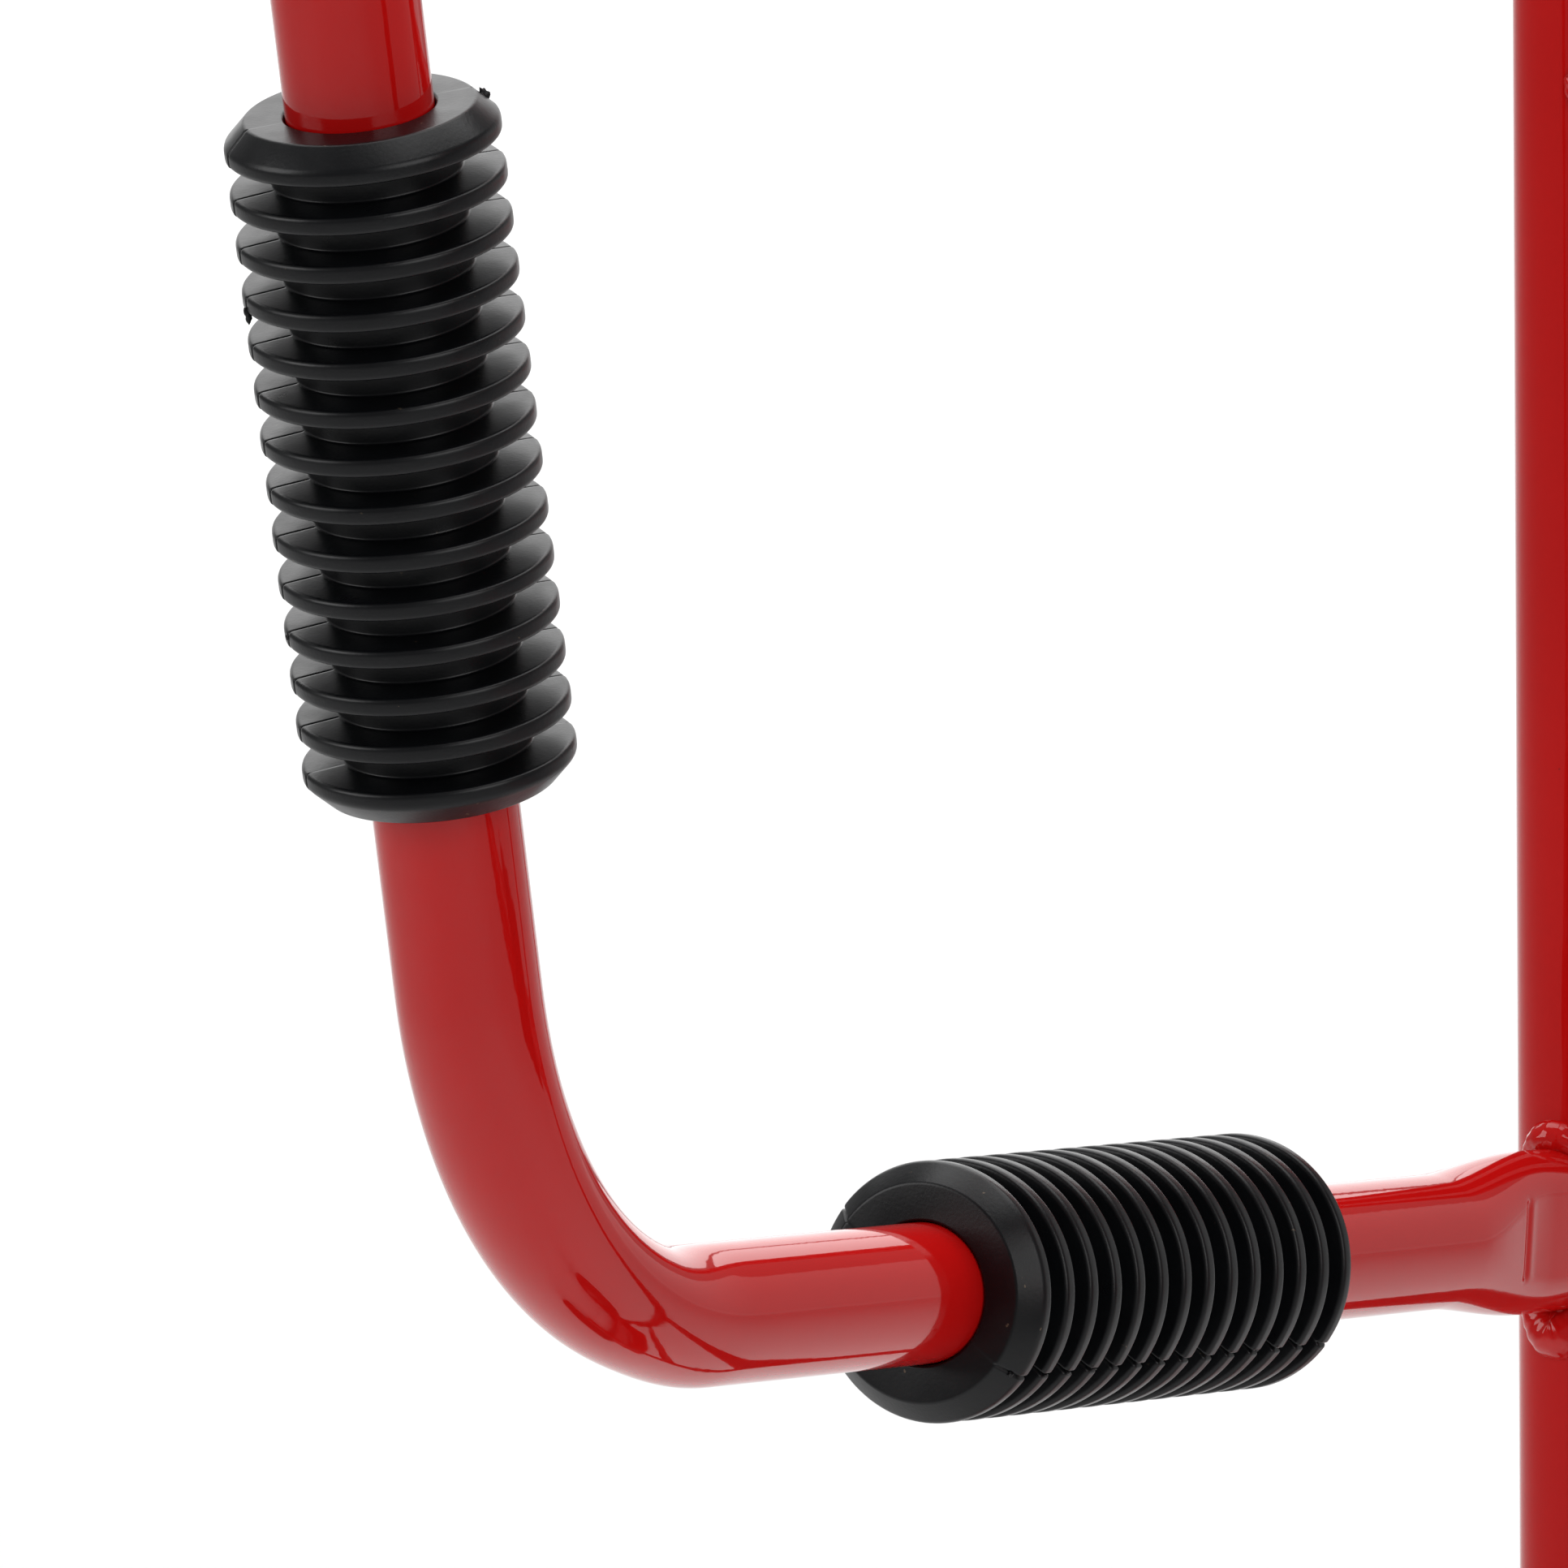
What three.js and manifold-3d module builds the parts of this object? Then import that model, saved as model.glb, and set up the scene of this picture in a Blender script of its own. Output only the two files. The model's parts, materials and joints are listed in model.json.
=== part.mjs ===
// A two-wheeled hand truck with a pair of closed loop handles, in millimetres, +Z up.
// X runs across the truck, +Y points the way the toe plate points, and the origin lies on the floor under the
// middle of the whole truck. The frame is worked out from the rails, whose axes stand on the line y = 0 until
// the last step, where the finished group is moved so that the origin is in the middle.
import * as THREE from "three";
import { mergeVertices } from "three/addons/utils/BufferGeometryUtils.js";
import Module from "manifold-3d";

const wasm = await Module();
wasm.setup();

// ---------------------------------------------------------------- driving dimensions
const tube = { radius: 12.5, wall: 1.5, sides: 12 };
const bend = { radius: 86, steps: 5 };
const gap = 0.3; // clearance left between pieces that touch
const holePlay = 0.5; // a bolt's hole is this much larger in radius than the bolt
const through = 40; // length of a drilled hole: more than anything that a drill goes through
const spare = 5; // how far the shape of a bore reaches past the end that it opens
const railSpacing = 300; // between the axes of the two rails
const railFoot = 5; // height of the rails' lower ends

const handle = {
  weldHeight: 935, // where the axis of the lower leg meets the axis of the rail
  legLength: 385, // from the rail's axis to the lower rear corner
  legSlope: THREE.MathUtils.degToRad(7.3), // both legs rise this much towards the rear
  lean: THREE.MathUtils.degToRad(11.2), // the rear upright leans back this much
  uprightLength: 372, // between the two rear corners
  endHeight: 30.3, // the leg's end is pressed flat where it is welded to the rail
  endThickness: 16.2,
  flatTo: 27, // from the rail's axis: fully flat up to here, and round again from flatFrom on
  flatFrom: 58,
  splitAt: 190, // where the leg's two stretches are joined, under the horizontal grip
};

const grip = {
  radius: 23,
  coreRadius: 16.6,
  bore: 13.4,
  pitch: 8.38,
  discs: 12, // thin discs between the two end flanges
  discThickness: 2.4,
  flange: 6.3, // length of an end flange, the last part of it chamfered
  chamfer: 3.7,
  sides: 10,
  firstDiscOnUpright: 204.3, // from the lower rear corner to the disc next to the upper flange
  firstDiscOnLeg: 233.9, // from the rail's axis to the disc next to the rear flange
};

// The handle's lower end is drawn down to a neck that is pushed into the lower rail and bolted there.
const splice = {
  height: 640,
  insert: 75,
  neckRadius: 10.5,
  shoulder: [1, 4], // the neck widens between these two distances above the rail's end
  railBore: 11.1,
  boltHeights: [600, 628],
};

const strap = { height: 40, thickness: 3, sag: 34, steps: 10 };
const strapHeights = { upper_crossbar: 720, middle_crossbar: 510, lower_crossbar: 300 };
const topBar = { height: 1150, radius: 11, wall: 1.5 };

const toe = {
  width: 450,
  depth: 240, // front edge, measured from the rails' axes
  thickness: 4,
  cornerRadius: 28,
  upstandHeight: 92,
  upstandWidth: 330,
  webX: 160,
  webHeight: 62,
  webDepth: 78,
  webNose: 8, // height of the web's front edge
  webCrest: 6, // depth of its level top edge
  boltHeights: [30, 70],
};

const axle = { y: -115, height: 130, radius: 8, halfLength: 268, bore: 8.4 };
const spacerRadius = 11.5;
const washer = { radius: 15, thickness: 2.5 };
const cotter = { x: 262, radius: 1.7, hole: 2.2, length: 28, ringAt: 13.4, ringRadius: 4, ringWire: 1.6 };
const bracket = { low: 88, high: 235, cheek: 3, noseRadius: 27, edgeY: -10 };
const wheel = {
  x: 217.5, // middle of the tyre
  radius: 130,
  halfWidth: 42.5,
  segments: 28,
  hubSegments: 16,
  hubRadius: 21,
  hubBore: 17.8,
  hubHalf: 37.5, // half the length of the hub
  bearingRadius: 17.4,
  bearingWidth: 11,
  bearingInset: 1,
  boltCircle: 36,
  boltCount: 4,
  sheet: 2.2,
};
const innerTubeSize = { halfWidth: 31, low: 53.5, high: 118, skin: 1.8, sides: 8, segments: 16 };
// The valve stem leaves the inner tube through the outboard rim half, leaning outwards.
const stem = { from: [6, 0, 60], to: [34, 0, 32], radius: 4, bore: 1.6, hole: 5.2 };

const largeBolt = { radius: 4, across: 13, head: 5.3, tail: 8, nut: 6.5 };
const smallBolt = { radius: 3, across: 10, head: 4, tail: 6, nut: 5 };

// ---------------------------------------------------------------- colours
const finish = (color, roughness, metalness) => new THREE.MeshStandardMaterial({ color, roughness, metalness });
const redPaint = finish(0xb31217, 0.25, 0);
const rimPaint = finish(0xd9d9d4, 0.35, 0);
const gripBlack = finish(0x1b1d1f, 0.55, 0);
const tyreBlack = finish(0x1a1a1a, 0.85, 0);
const zinc = finish(0xb9bcc0, 0.35, 1);
const steel = finish(0x8f9499, 0.3, 1);

// ---------------------------------------------------------------- solids
function solid(geometry) {
  const bare = geometry.index ? geometry.toNonIndexed() : geometry.clone();
  bare.deleteAttribute("normal");
  bare.deleteAttribute("uv");
  const merged = mergeVertices(bare, 1e-3);
  const mesh = new wasm.Mesh({
    numProp: 3,
    vertProperties: new Float32Array(merged.attributes.position.array),
    triVerts: new Uint32Array(merged.index.array),
  });
  return new wasm.Manifold(mesh);
}

function geometryOf(manifold) {
  const mesh = manifold.getMesh();
  const geometry = new THREE.BufferGeometry();
  geometry.setAttribute("position", new THREE.BufferAttribute(new Float32Array(mesh.vertProperties), 3));
  geometry.setIndex(new THREE.BufferAttribute(new Uint32Array(mesh.triVerts), 1));
  geometry.computeVertexNormals();
  return geometry;
}

const union = (first, ...others) => others.reduce((sum, next) => sum.add(next), first);
const cut = (first, ...others) => others.reduce((rest, next) => rest.subtract(next), first);

// A cylinder whose axis runs along "x", "y" or "z" through (x, y, z), its middle.
function rod(axis, radius, length, x, y, z, sides = 12) {
  const geometry = new THREE.CylinderGeometry(radius, radius, length, sides);
  if (axis === "x") geometry.rotateZ(-Math.PI / 2);
  if (axis === "z") geometry.rotateX(Math.PI / 2);
  return solid(geometry.translate(x, y, z));
}

function box(sizeX, sizeY, sizeZ, x, y, z) {
  return solid(new THREE.BoxGeometry(sizeX, sizeY, sizeZ).translate(x, y, z));
}

// A ring about the Y axis. The profile lists [y, radius] pairs and closes on itself, either way round.
function lathe(profile, sides) {
  const points = profile.map(([y, radius]) => new THREE.Vector2(radius, y));
  if (THREE.ShapeUtils.area(points) < 0) points.reverse();
  return new THREE.LatheGeometry([...points, points[0]], sides);
}

// A ring about the X axis, from a profile of [x, radius] pairs.
const turned = (profile, sides) => solid(lathe(profile, sides).rotateZ(-Math.PI / 2));

// A path whose extrusion steps fall on the given stops, so that a straight run takes one step.
class StopPath extends THREE.Curve {
  constructor(stops) {
    super();
    this.stops = stops;
  }
  getSpacedPoints() {
    return this.stops.map((stop) => stop.clone());
  }
  getTangentAt(u, target = new THREE.Vector3()) {
    const last = this.stops.length - 1;
    const here = Math.round(u * last);
    const before = this.stops[Math.max(here - 1, 0)];
    const after = this.stops[Math.min(here + 1, last)];
    const there = this.stops[here];
    const arriving = there.clone().sub(before).normalize();
    const leaving = after.clone().sub(there).normalize();
    return target.copy(arriving).add(leaving).normalize();
  }
}

function roundTube(stops, radius) {
  const section = new THREE.Shape().absarc(0, 0, radius, 0, 2 * Math.PI);
  const sides = section.getSpacedPoints(tube.sides).slice(0, tube.sides);
  return new THREE.ExtrudeGeometry(new THREE.Shape(sides), {
    steps: stops.length - 1,
    extrudePath: new StopPath(stops),
  });
}

// The stops of a path in the plane x = 0 that runs through the corners, each rounded by the tube bender.
function roundedStops(corners) {
  const stops = [corners[0]];
  for (let i = 1; i < corners.length - 1; i += 1) {
    const arriving = corners[i].clone().sub(corners[i - 1]).normalize();
    const leaving = corners[i + 1].clone().sub(corners[i]).normalize();
    const turn = arriving.angleTo(leaving);
    const tangent = bend.radius * Math.tan(turn / 2);
    const start = corners[i].clone().addScaledVector(arriving, -tangent);
    const inward = leaving.clone().addScaledVector(arriving, -Math.cos(turn)).normalize();
    const centre = start.clone().addScaledVector(inward, bend.radius);
    for (let step = 0; step <= bend.steps; step += 1) {
      const angle = (turn * step) / bend.steps;
      const stop = centre.clone().addScaledVector(inward, -bend.radius * Math.cos(angle));
      stops.push(stop.addScaledVector(arriving, bend.radius * Math.sin(angle)));
    }
  }
  stops.push(corners[corners.length - 1]);
  return stops;
}

// ---------------------------------------------------------------- the handle loop
const point = (y, z) => new THREE.Vector3(0, y, z);
const legDirection = point(-Math.cos(handle.legSlope), Math.sin(handle.legSlope));
const uprightDirection = point(-Math.sin(handle.lean), Math.cos(handle.lean));
const weldPoint = point(0, handle.weldHeight);
const lowerCorner = weldPoint.clone().addScaledVector(legDirection, handle.legLength);
const upperCorner = lowerCorner.clone().addScaledVector(uprightDirection, handle.uprightLength);
const railTop = point(0, upperCorner.z + upperCorner.y * Math.tan(handle.legSlope));
const onLeg = (distance) => weldPoint.clone().addScaledVector(legDirection, distance);

// The tube's lower end is drawn down to a neck that slides into the lower rail.
function neckDown(geometry, radius, neck) {
  const position = geometry.attributes.position;
  for (let i = 0; i < position.count; i += 1) {
    if (position.getZ(i) > splice.height + splice.shoulder[0] + gap) continue;
    position.setX(i, (position.getX(i) * neck) / radius);
    position.setY(i, (position.getY(i) * neck) / radius);
  }
  return geometry;
}

// Presses the end of the lower leg flat: taller and thinner the nearer it is to the rail.
function pressFlat(geometry, inset) {
  const position = geometry.attributes.position;
  const vertex = new THREE.Vector3();
  const up = point(Math.sin(handle.legSlope), Math.cos(handle.legSlope));
  for (let i = 0; i < position.count; i += 1) {
    vertex.fromBufferAttribute(position, i).sub(weldPoint);
    const distance = vertex.dot(legDirection);
    const rise = vertex.dot(up);
    const share = 1 - THREE.MathUtils.smoothstep(distance, handle.flatTo, handle.flatFrom);
    const tall = THREE.MathUtils.lerp(tube.radius, handle.endHeight / 2, share) - inset;
    const thin = THREE.MathUtils.lerp(tube.radius, handle.endThickness / 2, share) - inset;
    const radius = tube.radius - inset;
    const pressed = weldPoint.clone().addScaledVector(legDirection, distance);
    pressed.addScaledVector(up, (rise * tall) / radius);
    position.setXYZ(i, (vertex.x * thin) / radius, pressed.y, pressed.z);
  }
  return geometry;
}

// The tube's outer body, or with inset its bore.
function handleBody(inset) {
  const radius = tube.radius - inset;
  const low = splice.height - splice.insert - (inset ? spare : 0);
  const rounded = roundedStops([point(0, low), railTop, upperCorner, lowerCorner, onLeg(handle.splitAt)]);
  const neckStops = splice.shoulder.map((rise) => point(0, splice.height + rise));
  const long = neckDown(
    roundTube([rounded[0], ...neckStops, ...rounded.slice(1)], radius),
    radius,
    splice.neckRadius - inset,
  );
  const endAt = inset ? tube.radius + 1 : tube.radius - tube.wall;
  const span = handle.flatFrom - handle.flatTo;
  const pressSteps = [1, 0.75, 0.5, 0.25, 0].map((share) => onLeg(handle.flatTo + span * share));
  const short = roundTube([onLeg(handle.splitAt + 2), ...pressSteps, onLeg(endAt)], radius - 0.05);
  return union(solid(long), solid(pressFlat(short, inset)));
}

const boltHoleRadius = largeBolt.radius + holePlay;
const spliceHoles = () => splice.boltHeights.map((z) => rod("x", boltHoleRadius, through, 0, 0, z, 8));
const handleTube = geometryOf(cut(handleBody(0), handleBody(tube.wall), ...spliceHoles()));

// ---------------------------------------------------------------- grips
// The grip runs along +Z and its first disc is at 0, with one flange above it and the other discs below.
function gripGeometry() {
  const half = grip.discThickness / 2;
  const top = grip.pitch - half + grip.flange;
  const bottom = half - grip.discs * grip.pitch - grip.flange;
  const chamfered = grip.radius - grip.chamfer;
  const profile = [[top, grip.bore], [top, chamfered], [top - grip.chamfer, grip.radius]];
  for (let groove = 0; groove <= grip.discs; groove += 1) {
    const middle = (0.5 - groove) * grip.pitch;
    profile.push([middle + grip.pitch / 2 - half, grip.radius]);
    profile.push([middle, grip.coreRadius]);
    profile.push([middle - grip.pitch / 2 + half, grip.radius]);
  }
  profile.push([bottom + grip.chamfer, grip.radius], [bottom, chamfered], [bottom, grip.bore]);
  return lathe(profile, grip.sides).rotateX(Math.PI / 2);
}

function placeGrip(name, centre, direction) {
  const mesh = new THREE.Mesh(gripGeometry(), gripBlack);
  mesh.name = name;
  mesh.position.copy(centre);
  mesh.quaternion.setFromUnitVectors(new THREE.Vector3(0, 0, 1), direction);
  return mesh;
}

// ---------------------------------------------------------------- lower frame
function lowerRail(side) {
  const length = splice.height - railFoot;
  const middle = railFoot + length / 2;
  const outer = rod("z", tube.radius, length, 0, 0, middle);
  const bore = rod("z", splice.railBore, length + 2 * spare, 0, 0, middle);
  const toeHoles = toe.boltHeights.map((z) => rod("y", boltHoleRadius, through, 0, 0, z, 8));
  return geometryOf(cut(outer, bore, ...spliceHoles(), ...toeHoles).translate([side * (railSpacing / 2), 0, 0]));
}

// Shapes the ends of a crossbar to the rails that it is welded to.
function cutByRails(bar) {
  const rails = [-1, 1].map((side) => rod("z", tube.radius + gap, 1400, side * (railSpacing / 2), 0, 700));
  return geometryOf(cut(bar, ...rails));
}

// A flat strap bent rearwards between the rails, so that a round load lies in it.
function curvedStrap(height) {
  const halfChord = railSpacing / 2 - 4;
  const radius = (halfChord ** 2 + strap.sag ** 2) / (2 * strap.sag);
  const centreY = radius - strap.sag;
  const halfAngle = Math.asin(halfChord / radius);
  const from = 1.5 * Math.PI - halfAngle;
  const to = 1.5 * Math.PI + halfAngle;
  const outline = new THREE.Shape();
  outline.absarc(0, centreY, radius + strap.thickness / 2, from, to, false);
  outline.absarc(0, centreY, radius - strap.thickness / 2, to, from, true);
  const geometry = new THREE.ExtrudeGeometry(outline, {
    depth: strap.height,
    bevelEnabled: false,
    curveSegments: strap.steps,
  });
  return cutByRails(solid(geometry.translate(0, 0, height - strap.height / 2)));
}

function topCrossbar() {
  const length = railSpacing - 8;
  const outer = rod("x", topBar.radius, length, 0, 0, topBar.height);
  const bore = rod("x", topBar.radius - topBar.wall, length + 2 * spare, 0, 0, topBar.height);
  return cutByRails(cut(outer, bore));
}

// The bracket's side outline, drawn in the (y, z) plane; inset shrinks it everywhere but in front.
function bracketOutline(inset) {
  const nose = bracket.noseRadius - inset;
  const front = inset ? through : 0;
  const top = new THREE.Vector2(bracket.edgeY, bracket.high - inset);
  const foot = new THREE.Vector2(bracket.edgeY, bracket.low + inset);
  const centre = new THREE.Vector2(axle.y, axle.height);
  const tangentAngle = (from, sign) => {
    const away = from.clone().sub(centre);
    return away.angle() + sign * Math.acos(nose / away.length());
  };
  const upper = tangentAngle(top, 1);
  const lower = tangentAngle(foot, -1);
  const outline = new THREE.Shape();
  outline.moveTo(front, bracket.low + inset);
  outline.lineTo(front, bracket.high - inset);
  outline.lineTo(top.x, top.y);
  outline.absarc(centre.x, centre.y, nose, upper, lower, false);
  outline.lineTo(foot.x, foot.y);
  return outline;
}

// Extrudes a (y, z) outline along X, symmetric about x = 0.
function acrossX(outline, width) {
  const geometry = new THREE.ExtrudeGeometry(outline, { depth: width, bevelEnabled: false, curveSegments: 8 });
  const turn = new THREE.Matrix4().makeBasis(
    new THREE.Vector3(0, 1, 0),
    new THREE.Vector3(0, 0, 1),
    new THREE.Vector3(1, 0, 0),
  );
  return solid(geometry.applyMatrix4(turn).translate(-width / 2, 0, 0));
}

const cheekInside = tube.radius + gap;
const cheekOutside = cheekInside + bracket.cheek;

// A folded channel: two cheeks hug the rail and meet in a skin round the back.
function axleBracket(side) {
  const shell = acrossX(bracketOutline(0), 2 * cheekOutside);
  const hollow = acrossX(bracketOutline(bracket.cheek), 2 * cheekInside);
  const railSlot = rod("z", tube.radius + gap, 400, 0, 0, 150);
  const axleHole = rod("x", axle.bore, 80, 0, axle.y, axle.height, 16);
  return geometryOf(cut(shell, hollow, railSlot, axleHole).translate([side * (railSpacing / 2), 0, 0]));
}

const toeBack = tube.radius + gap;
const toeFace = toeBack + toe.thickness;

function toePlate() {
  const half = toe.width / 2;
  const r = toe.cornerRadius;
  const plan = new THREE.Shape();
  plan.moveTo(-half, toeBack);
  plan.lineTo(half, toeBack);
  plan.lineTo(half, toe.depth - r);
  plan.absarc(half - r, toe.depth - r, r, 0, Math.PI / 2, false);
  plan.absarc(r - half, toe.depth - r, r, Math.PI / 2, Math.PI, false);
  const plate = new THREE.ExtrudeGeometry(plan, { depth: toe.thickness, bevelEnabled: false, curveSegments: 5 });
  const upstand = box(toe.upstandWidth, toe.thickness, toe.upstandHeight, 0, toeBack + toe.thickness / 2,
    toe.upstandHeight / 2);
  const web = new THREE.Shape();
  web.moveTo(toeBack + 1, 1);
  web.lineTo(toeFace + toe.webDepth, 1);
  web.lineTo(toeFace + toe.webDepth, toe.webNose);
  web.lineTo(toeFace + toe.webCrest, toe.webHeight);
  web.lineTo(toeBack + 1, toe.webHeight);
  const webs = [-1, 1].map((side) => acrossX(web, toe.thickness).translate([side * toe.webX, 0, 0]));
  const holes = [];
  for (const side of [-1, 1]) {
    for (const z of toe.boltHeights) {
      holes.push(rod("y", boltHoleRadius, through, side * (railSpacing / 2), toeBack, z, 8));
    }
  }
  return geometryOf(cut(union(solid(plate), upstand, ...webs), ...holes));
}

// ---------------------------------------------------------------- fasteners, along +X from the head's seat at 0
const hexagon = (size, length, x) => rod("x", size.across / Math.sqrt(3), length, x, 0, 0, 6);

// The bolt reaches past what it holds by its tail, and its shank starts inside its head.
function hexBolt(size, reach) {
  const length = reach + size.tail;
  const overlap = size.head / 2;
  const shank = rod("x", size.radius, length + overlap, (length - overlap) / 2, 0, 0, 8);
  return union(hexagon(size, size.head, -size.head / 2), shank);
}

function hexNut(size) {
  return cut(hexagon(size, size.nut, size.nut / 2), rod("x", size.radius + gap, through, 0, 0, 0, 8));
}

function mesh(name, geometry, material) {
  const made = new THREE.Mesh(geometry.isBufferGeometry ? geometry : geometryOf(geometry), material);
  made.name = name;
  return made;
}

// ---------------------------------------------------------------- wheel, about the X axis, outboard towards +X
function rimHalf(outboard) {
  const sheet = wheel.sheet;
  const profile = [
    [gap / 2, wheel.hubRadius + gap],
    [gap / 2, 44],
    [6, 49.5],
    [31, 50.5],
    [33, 60],
    [33 + sheet, 60],
    [33 + sheet, 48.6],
    [8, 47.4],
    [sheet + gap / 2, 42.5],
    [sheet + gap / 2, wheel.hubRadius + gap],
  ];
  const placed = outboard ? profile : profile.map(([x, r]) => [-x, r]);
  const holes = boltPlaces().map(([y, z]) => rod("x", smallBolt.radius + holePlay, through / 2, 0, y, z, 8));
  if (outboard) holes.push(valve(stem.hole));
  return cut(turned(placed, wheel.hubSegments), ...holes);
}

function boltPlaces() {
  const places = [];
  for (let i = 0; i < wheel.boltCount; i += 1) {
    const angle = ((i + 0.5) * 2 * Math.PI) / wheel.boltCount;
    places.push([wheel.boltCircle * Math.cos(angle), wheel.boltCircle * Math.sin(angle)]);
  }
  return places;
}

function valve(radius, spare = 0) {
  const from = new THREE.Vector3(...stem.from);
  const to = new THREE.Vector3(...stem.to);
  const middle = from.clone().lerp(to, 0.5);
  const direction = to.clone().sub(from).normalize();
  const geometry = new THREE.CylinderGeometry(radius, radius, from.distanceTo(to) + 2 * spare, 8);
  geometry.applyQuaternion(new THREE.Quaternion().setFromUnitVectors(new THREE.Vector3(0, 1, 0), direction));
  return solid(geometry.translate(middle.x, middle.y, middle.z));
}

function tyre() {
  const outside = [
    [29.5, 52],
    [31, 61],
    [40, 72],
    [wheel.halfWidth, 92],
    [37, 115],
    [18, wheel.radius],
  ];
  const inside = [
    [24, 52],
    [33, 70],
    [35, 92],
    [30, 111],
    [14, 120],
  ];
  const mirrored = (points) => points.map(([x, r]) => [-x, r]);
  const profile = [...outside, ...mirrored(outside).reverse(), ...mirrored(inside), ...inside.slice().reverse()];
  return turned(profile, wheel.segments);
}

// An oval ring; the stem's bore opens its hollow to the outside.
function innerTube() {
  const { halfWidth, low, high, skin, sides, segments } = innerTubeSize;
  const oval = (inset) => {
    const points = [];
    for (let i = 0; i < sides; i += 1) {
      const angle = ((i + 0.5) * 2 * Math.PI) / sides;
      const x = (halfWidth - inset) * Math.cos(angle);
      points.push([x, (low + high) / 2 + ((high - low) / 2 - inset) * Math.sin(angle)]);
    }
    return turned(points, segments);
  };
  return cut(union(oval(0), valve(stem.radius)), oval(skin), valve(stem.bore, 1.4));
}

function bearing() {
  const half = wheel.bearingWidth / 2;
  const recess = 0.8;
  const outwardHalf = [
    [half, wheel.bearingRadius],
    [half, 15],
    [half - recess, 12.8],
    [half, 10.6],
    [half, axle.bore],
  ];
  const inwardHalf = outwardHalf.map(([x, radius]) => [-x, radius]).reverse();
  return turned([...outwardHalf, ...inwardHalf], wheel.hubSegments);
}

const plainRing = (from, to, inner, outer) =>
  turned([[to, inner], [to, outer], [from, outer], [from, inner]], wheel.hubSegments);

function rimBolt() {
  const reach = 2 * wheel.sheet + 3 * gap;
  const nut = hexagon(smallBolt, smallBolt.nut, reach + smallBolt.nut / 2);
  return union(hexBolt(smallBolt, reach), nut).rotate([0, 180, 0]).translate([reach / 2, 0, 0]);
}

function makeWheel(name) {
  const group = new THREE.Group();
  const bearingAt = wheel.hubHalf - wheel.bearingWidth / 2 - wheel.bearingInset;
  const sleeve = plainRing(-wheel.hubHalf, wheel.hubHalf, wheel.hubBore, wheel.hubRadius);
  group.add(mesh(`${name}_tyre`, tyre(), tyreBlack));
  group.add(mesh(`${name}_inner_tube`, innerTube(), tyreBlack));
  group.add(mesh(`${name}_outer_rim_half`, rimHalf(true), rimPaint));
  group.add(mesh(`${name}_inner_rim_half`, rimHalf(false), rimPaint));
  group.add(mesh(`${name}_hub_sleeve`, sleeve, zinc));
  group.add(mesh(`${name}_outer_bearing`, bearing().translate([bearingAt, 0, 0]), steel));
  group.add(mesh(`${name}_inner_bearing`, bearing().translate([-bearingAt, 0, 0]), steel));
  boltPlaces().forEach(([y, z], i) => {
    group.add(mesh(`${name}_rim_bolt_${i + 1}`, rimBolt().translate([0, y, z]), zinc));
  });
  return group;
}

// A plain pin through the axle, with a ring on its upper end.
function cotterPin() {
  const ring = new THREE.TorusGeometry(cotter.ringRadius, cotter.ringWire, 6, 10).rotateY(Math.PI / 2);
  const top = cotter.ringAt - cotter.ringRadius + cotter.ringWire / 2;
  const pin = rod("z", cotter.radius, cotter.length, cotter.x, 0, top - cotter.length / 2, 8);
  return union(solid(ring.translate(cotter.x, 0, cotter.ringAt)), pin);
}

// ---------------------------------------------------------------- the whole truck
const truck = new THREE.Group();

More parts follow.
